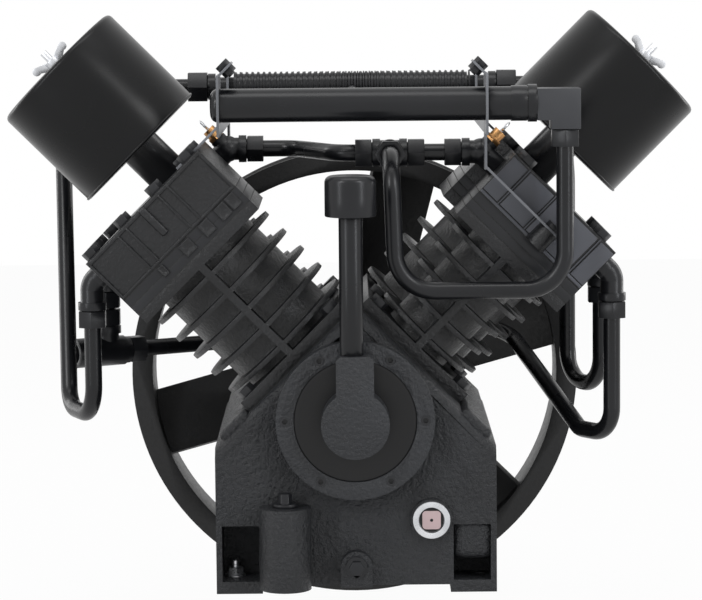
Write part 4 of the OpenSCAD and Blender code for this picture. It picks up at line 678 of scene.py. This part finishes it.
# White surroundings as the camera, reflections and glass see them, dim as a light
def seen_as_backdrop(tree):
    path = tree.nodes.new("ShaderNodeLightPath")
    seen = path.outputs["Is Camera Ray"]
    for ray in ("Is Transmission Ray", "Is Glossy Ray"):
        either = tree.nodes.new("ShaderNodeMath")
        either.operation = "MAXIMUM"
        tree.links.new(seen, either.inputs[0])
        tree.links.new(path.outputs[ray], either.inputs[1])
        seen = either.outputs["Value"]
    return seen


def background(tree, colour, strength):
    shader = tree.nodes.new("ShaderNodeBackground")
    shader.inputs["Color"].default_value = (*colour, 1)
    shader.inputs["Strength"].default_value = strength
    return shader.outputs["Background"]


def sky():
    world = bpy.data.worlds.new("studio")
    bpy.context.scene.world = world
    world.use_nodes = True
    tree = world.node_tree
    tree.nodes.clear()
    out = tree.nodes.new("ShaderNodeOutputWorld")
    mix = tree.nodes.new("ShaderNodeMixShader")
    tree.links.new(seen_as_backdrop(tree), mix.inputs["Fac"])
    tree.links.new(background(tree, (0.93, 0.95, 1), 0.25), mix.inputs[1])
    tree.links.new(background(tree, (1, 1, 1), 1.0), mix.inputs[2])
    tree.links.new(mix.outputs["Shader"], out.inputs["Surface"])


FLOOR_GAP = 0.0005
FLOOR_GLOW_SHARE = 0.96


def floor():
    deselect()
    bpy.ops.mesh.primitive_plane_add(size=8, location=(0, 0, cad_low[2] - FLOOR_GAP))
    ground = bpy.context.object
    ground.name = "floor"
    mat = bpy.data.materials.new("pale_floor")
    mat.use_nodes = True
    tree = mat.node_tree
    shader = tree.nodes["Principled BSDF"]
    shader.inputs["Base Color"].default_value = (0.9, 0.9, 0.9, 1)
    shader.inputs["Roughness"].default_value = 0.9
    glow = tree.nodes.new("ShaderNodeEmission")
    glow.inputs["Color"].default_value = (1, 1, 1, 1)
    share = tree.nodes.new("ShaderNodeMath")
    share.operation = "MULTIPLY"
    share.inputs[1].default_value = FLOOR_GLOW_SHARE
    tree.links.new(seen_as_backdrop(tree), share.inputs[0])
    mix = tree.nodes.new("ShaderNodeMixShader")
    tree.links.new(share.outputs["Value"], mix.inputs["Fac"])
    tree.links.new(shader.outputs["BSDF"], mix.inputs[1])
    tree.links.new(glow.outputs["Emission"], mix.inputs[2])
    tree.links.new(mix.outputs["Shader"], tree.nodes["Material Output"].inputs["Surface"])
    ground.data.materials.append(mat)


def soft_lamp(name, place, aim_height, size, watts, colour):
    data = bpy.data.lights.new(name, "AREA")
    data.shape = "RECTANGLE"
    data.size, data.size_y = size
    data.energy = watts
    data.color = colour
    lamp = bpy.data.objects.new(name, data)
    bpy.context.scene.collection.objects.link(lamp)
    lamp.location = place
    aim = Vector((0, 0, aim_height)) - Vector(place)
    lamp.rotation_euler = aim.to_track_quat("-Z", "Y").to_euler()


WHITE, COOL = (1, 1, 1), (0.93, 0.96, 1)
# Name, place, height aimed at, width and length, watts, colour
LAMPS = (
    ("left_box", (-2.1, -2.0, 0.9), 0.25, (0.4, 2.0), 14, COOL),
    ("right_box", (2.2, -1.9, 1.0), 0.25, (0.4, 2.0), 18, COOL),
    ("high_left", (-1.5, -1.8, 1.8), 0.3, (0.7, 0.7), 12, WHITE),
    ("high_right", (1.5, -1.8, 1.8), 0.3, (0.7, 0.7), 9, WHITE),
    ("top_box", (0.0, -0.5, 2.3), 0.3, (1.8, 0.8), 12, WHITE),
    ("back_left", (-2.0, 1.2, 1.0), 0.25, (0.6, 1.8), 12, WHITE),
    ("back_right", (2.0, 1.2, 1.0), 0.25, (0.6, 1.8), 12, WHITE),
)

bpy.context.scene.view_settings.view_transform = "Standard"
place_camera()
sky()
floor()
for lamp in LAMPS:
    soft_lamp(*lamp)
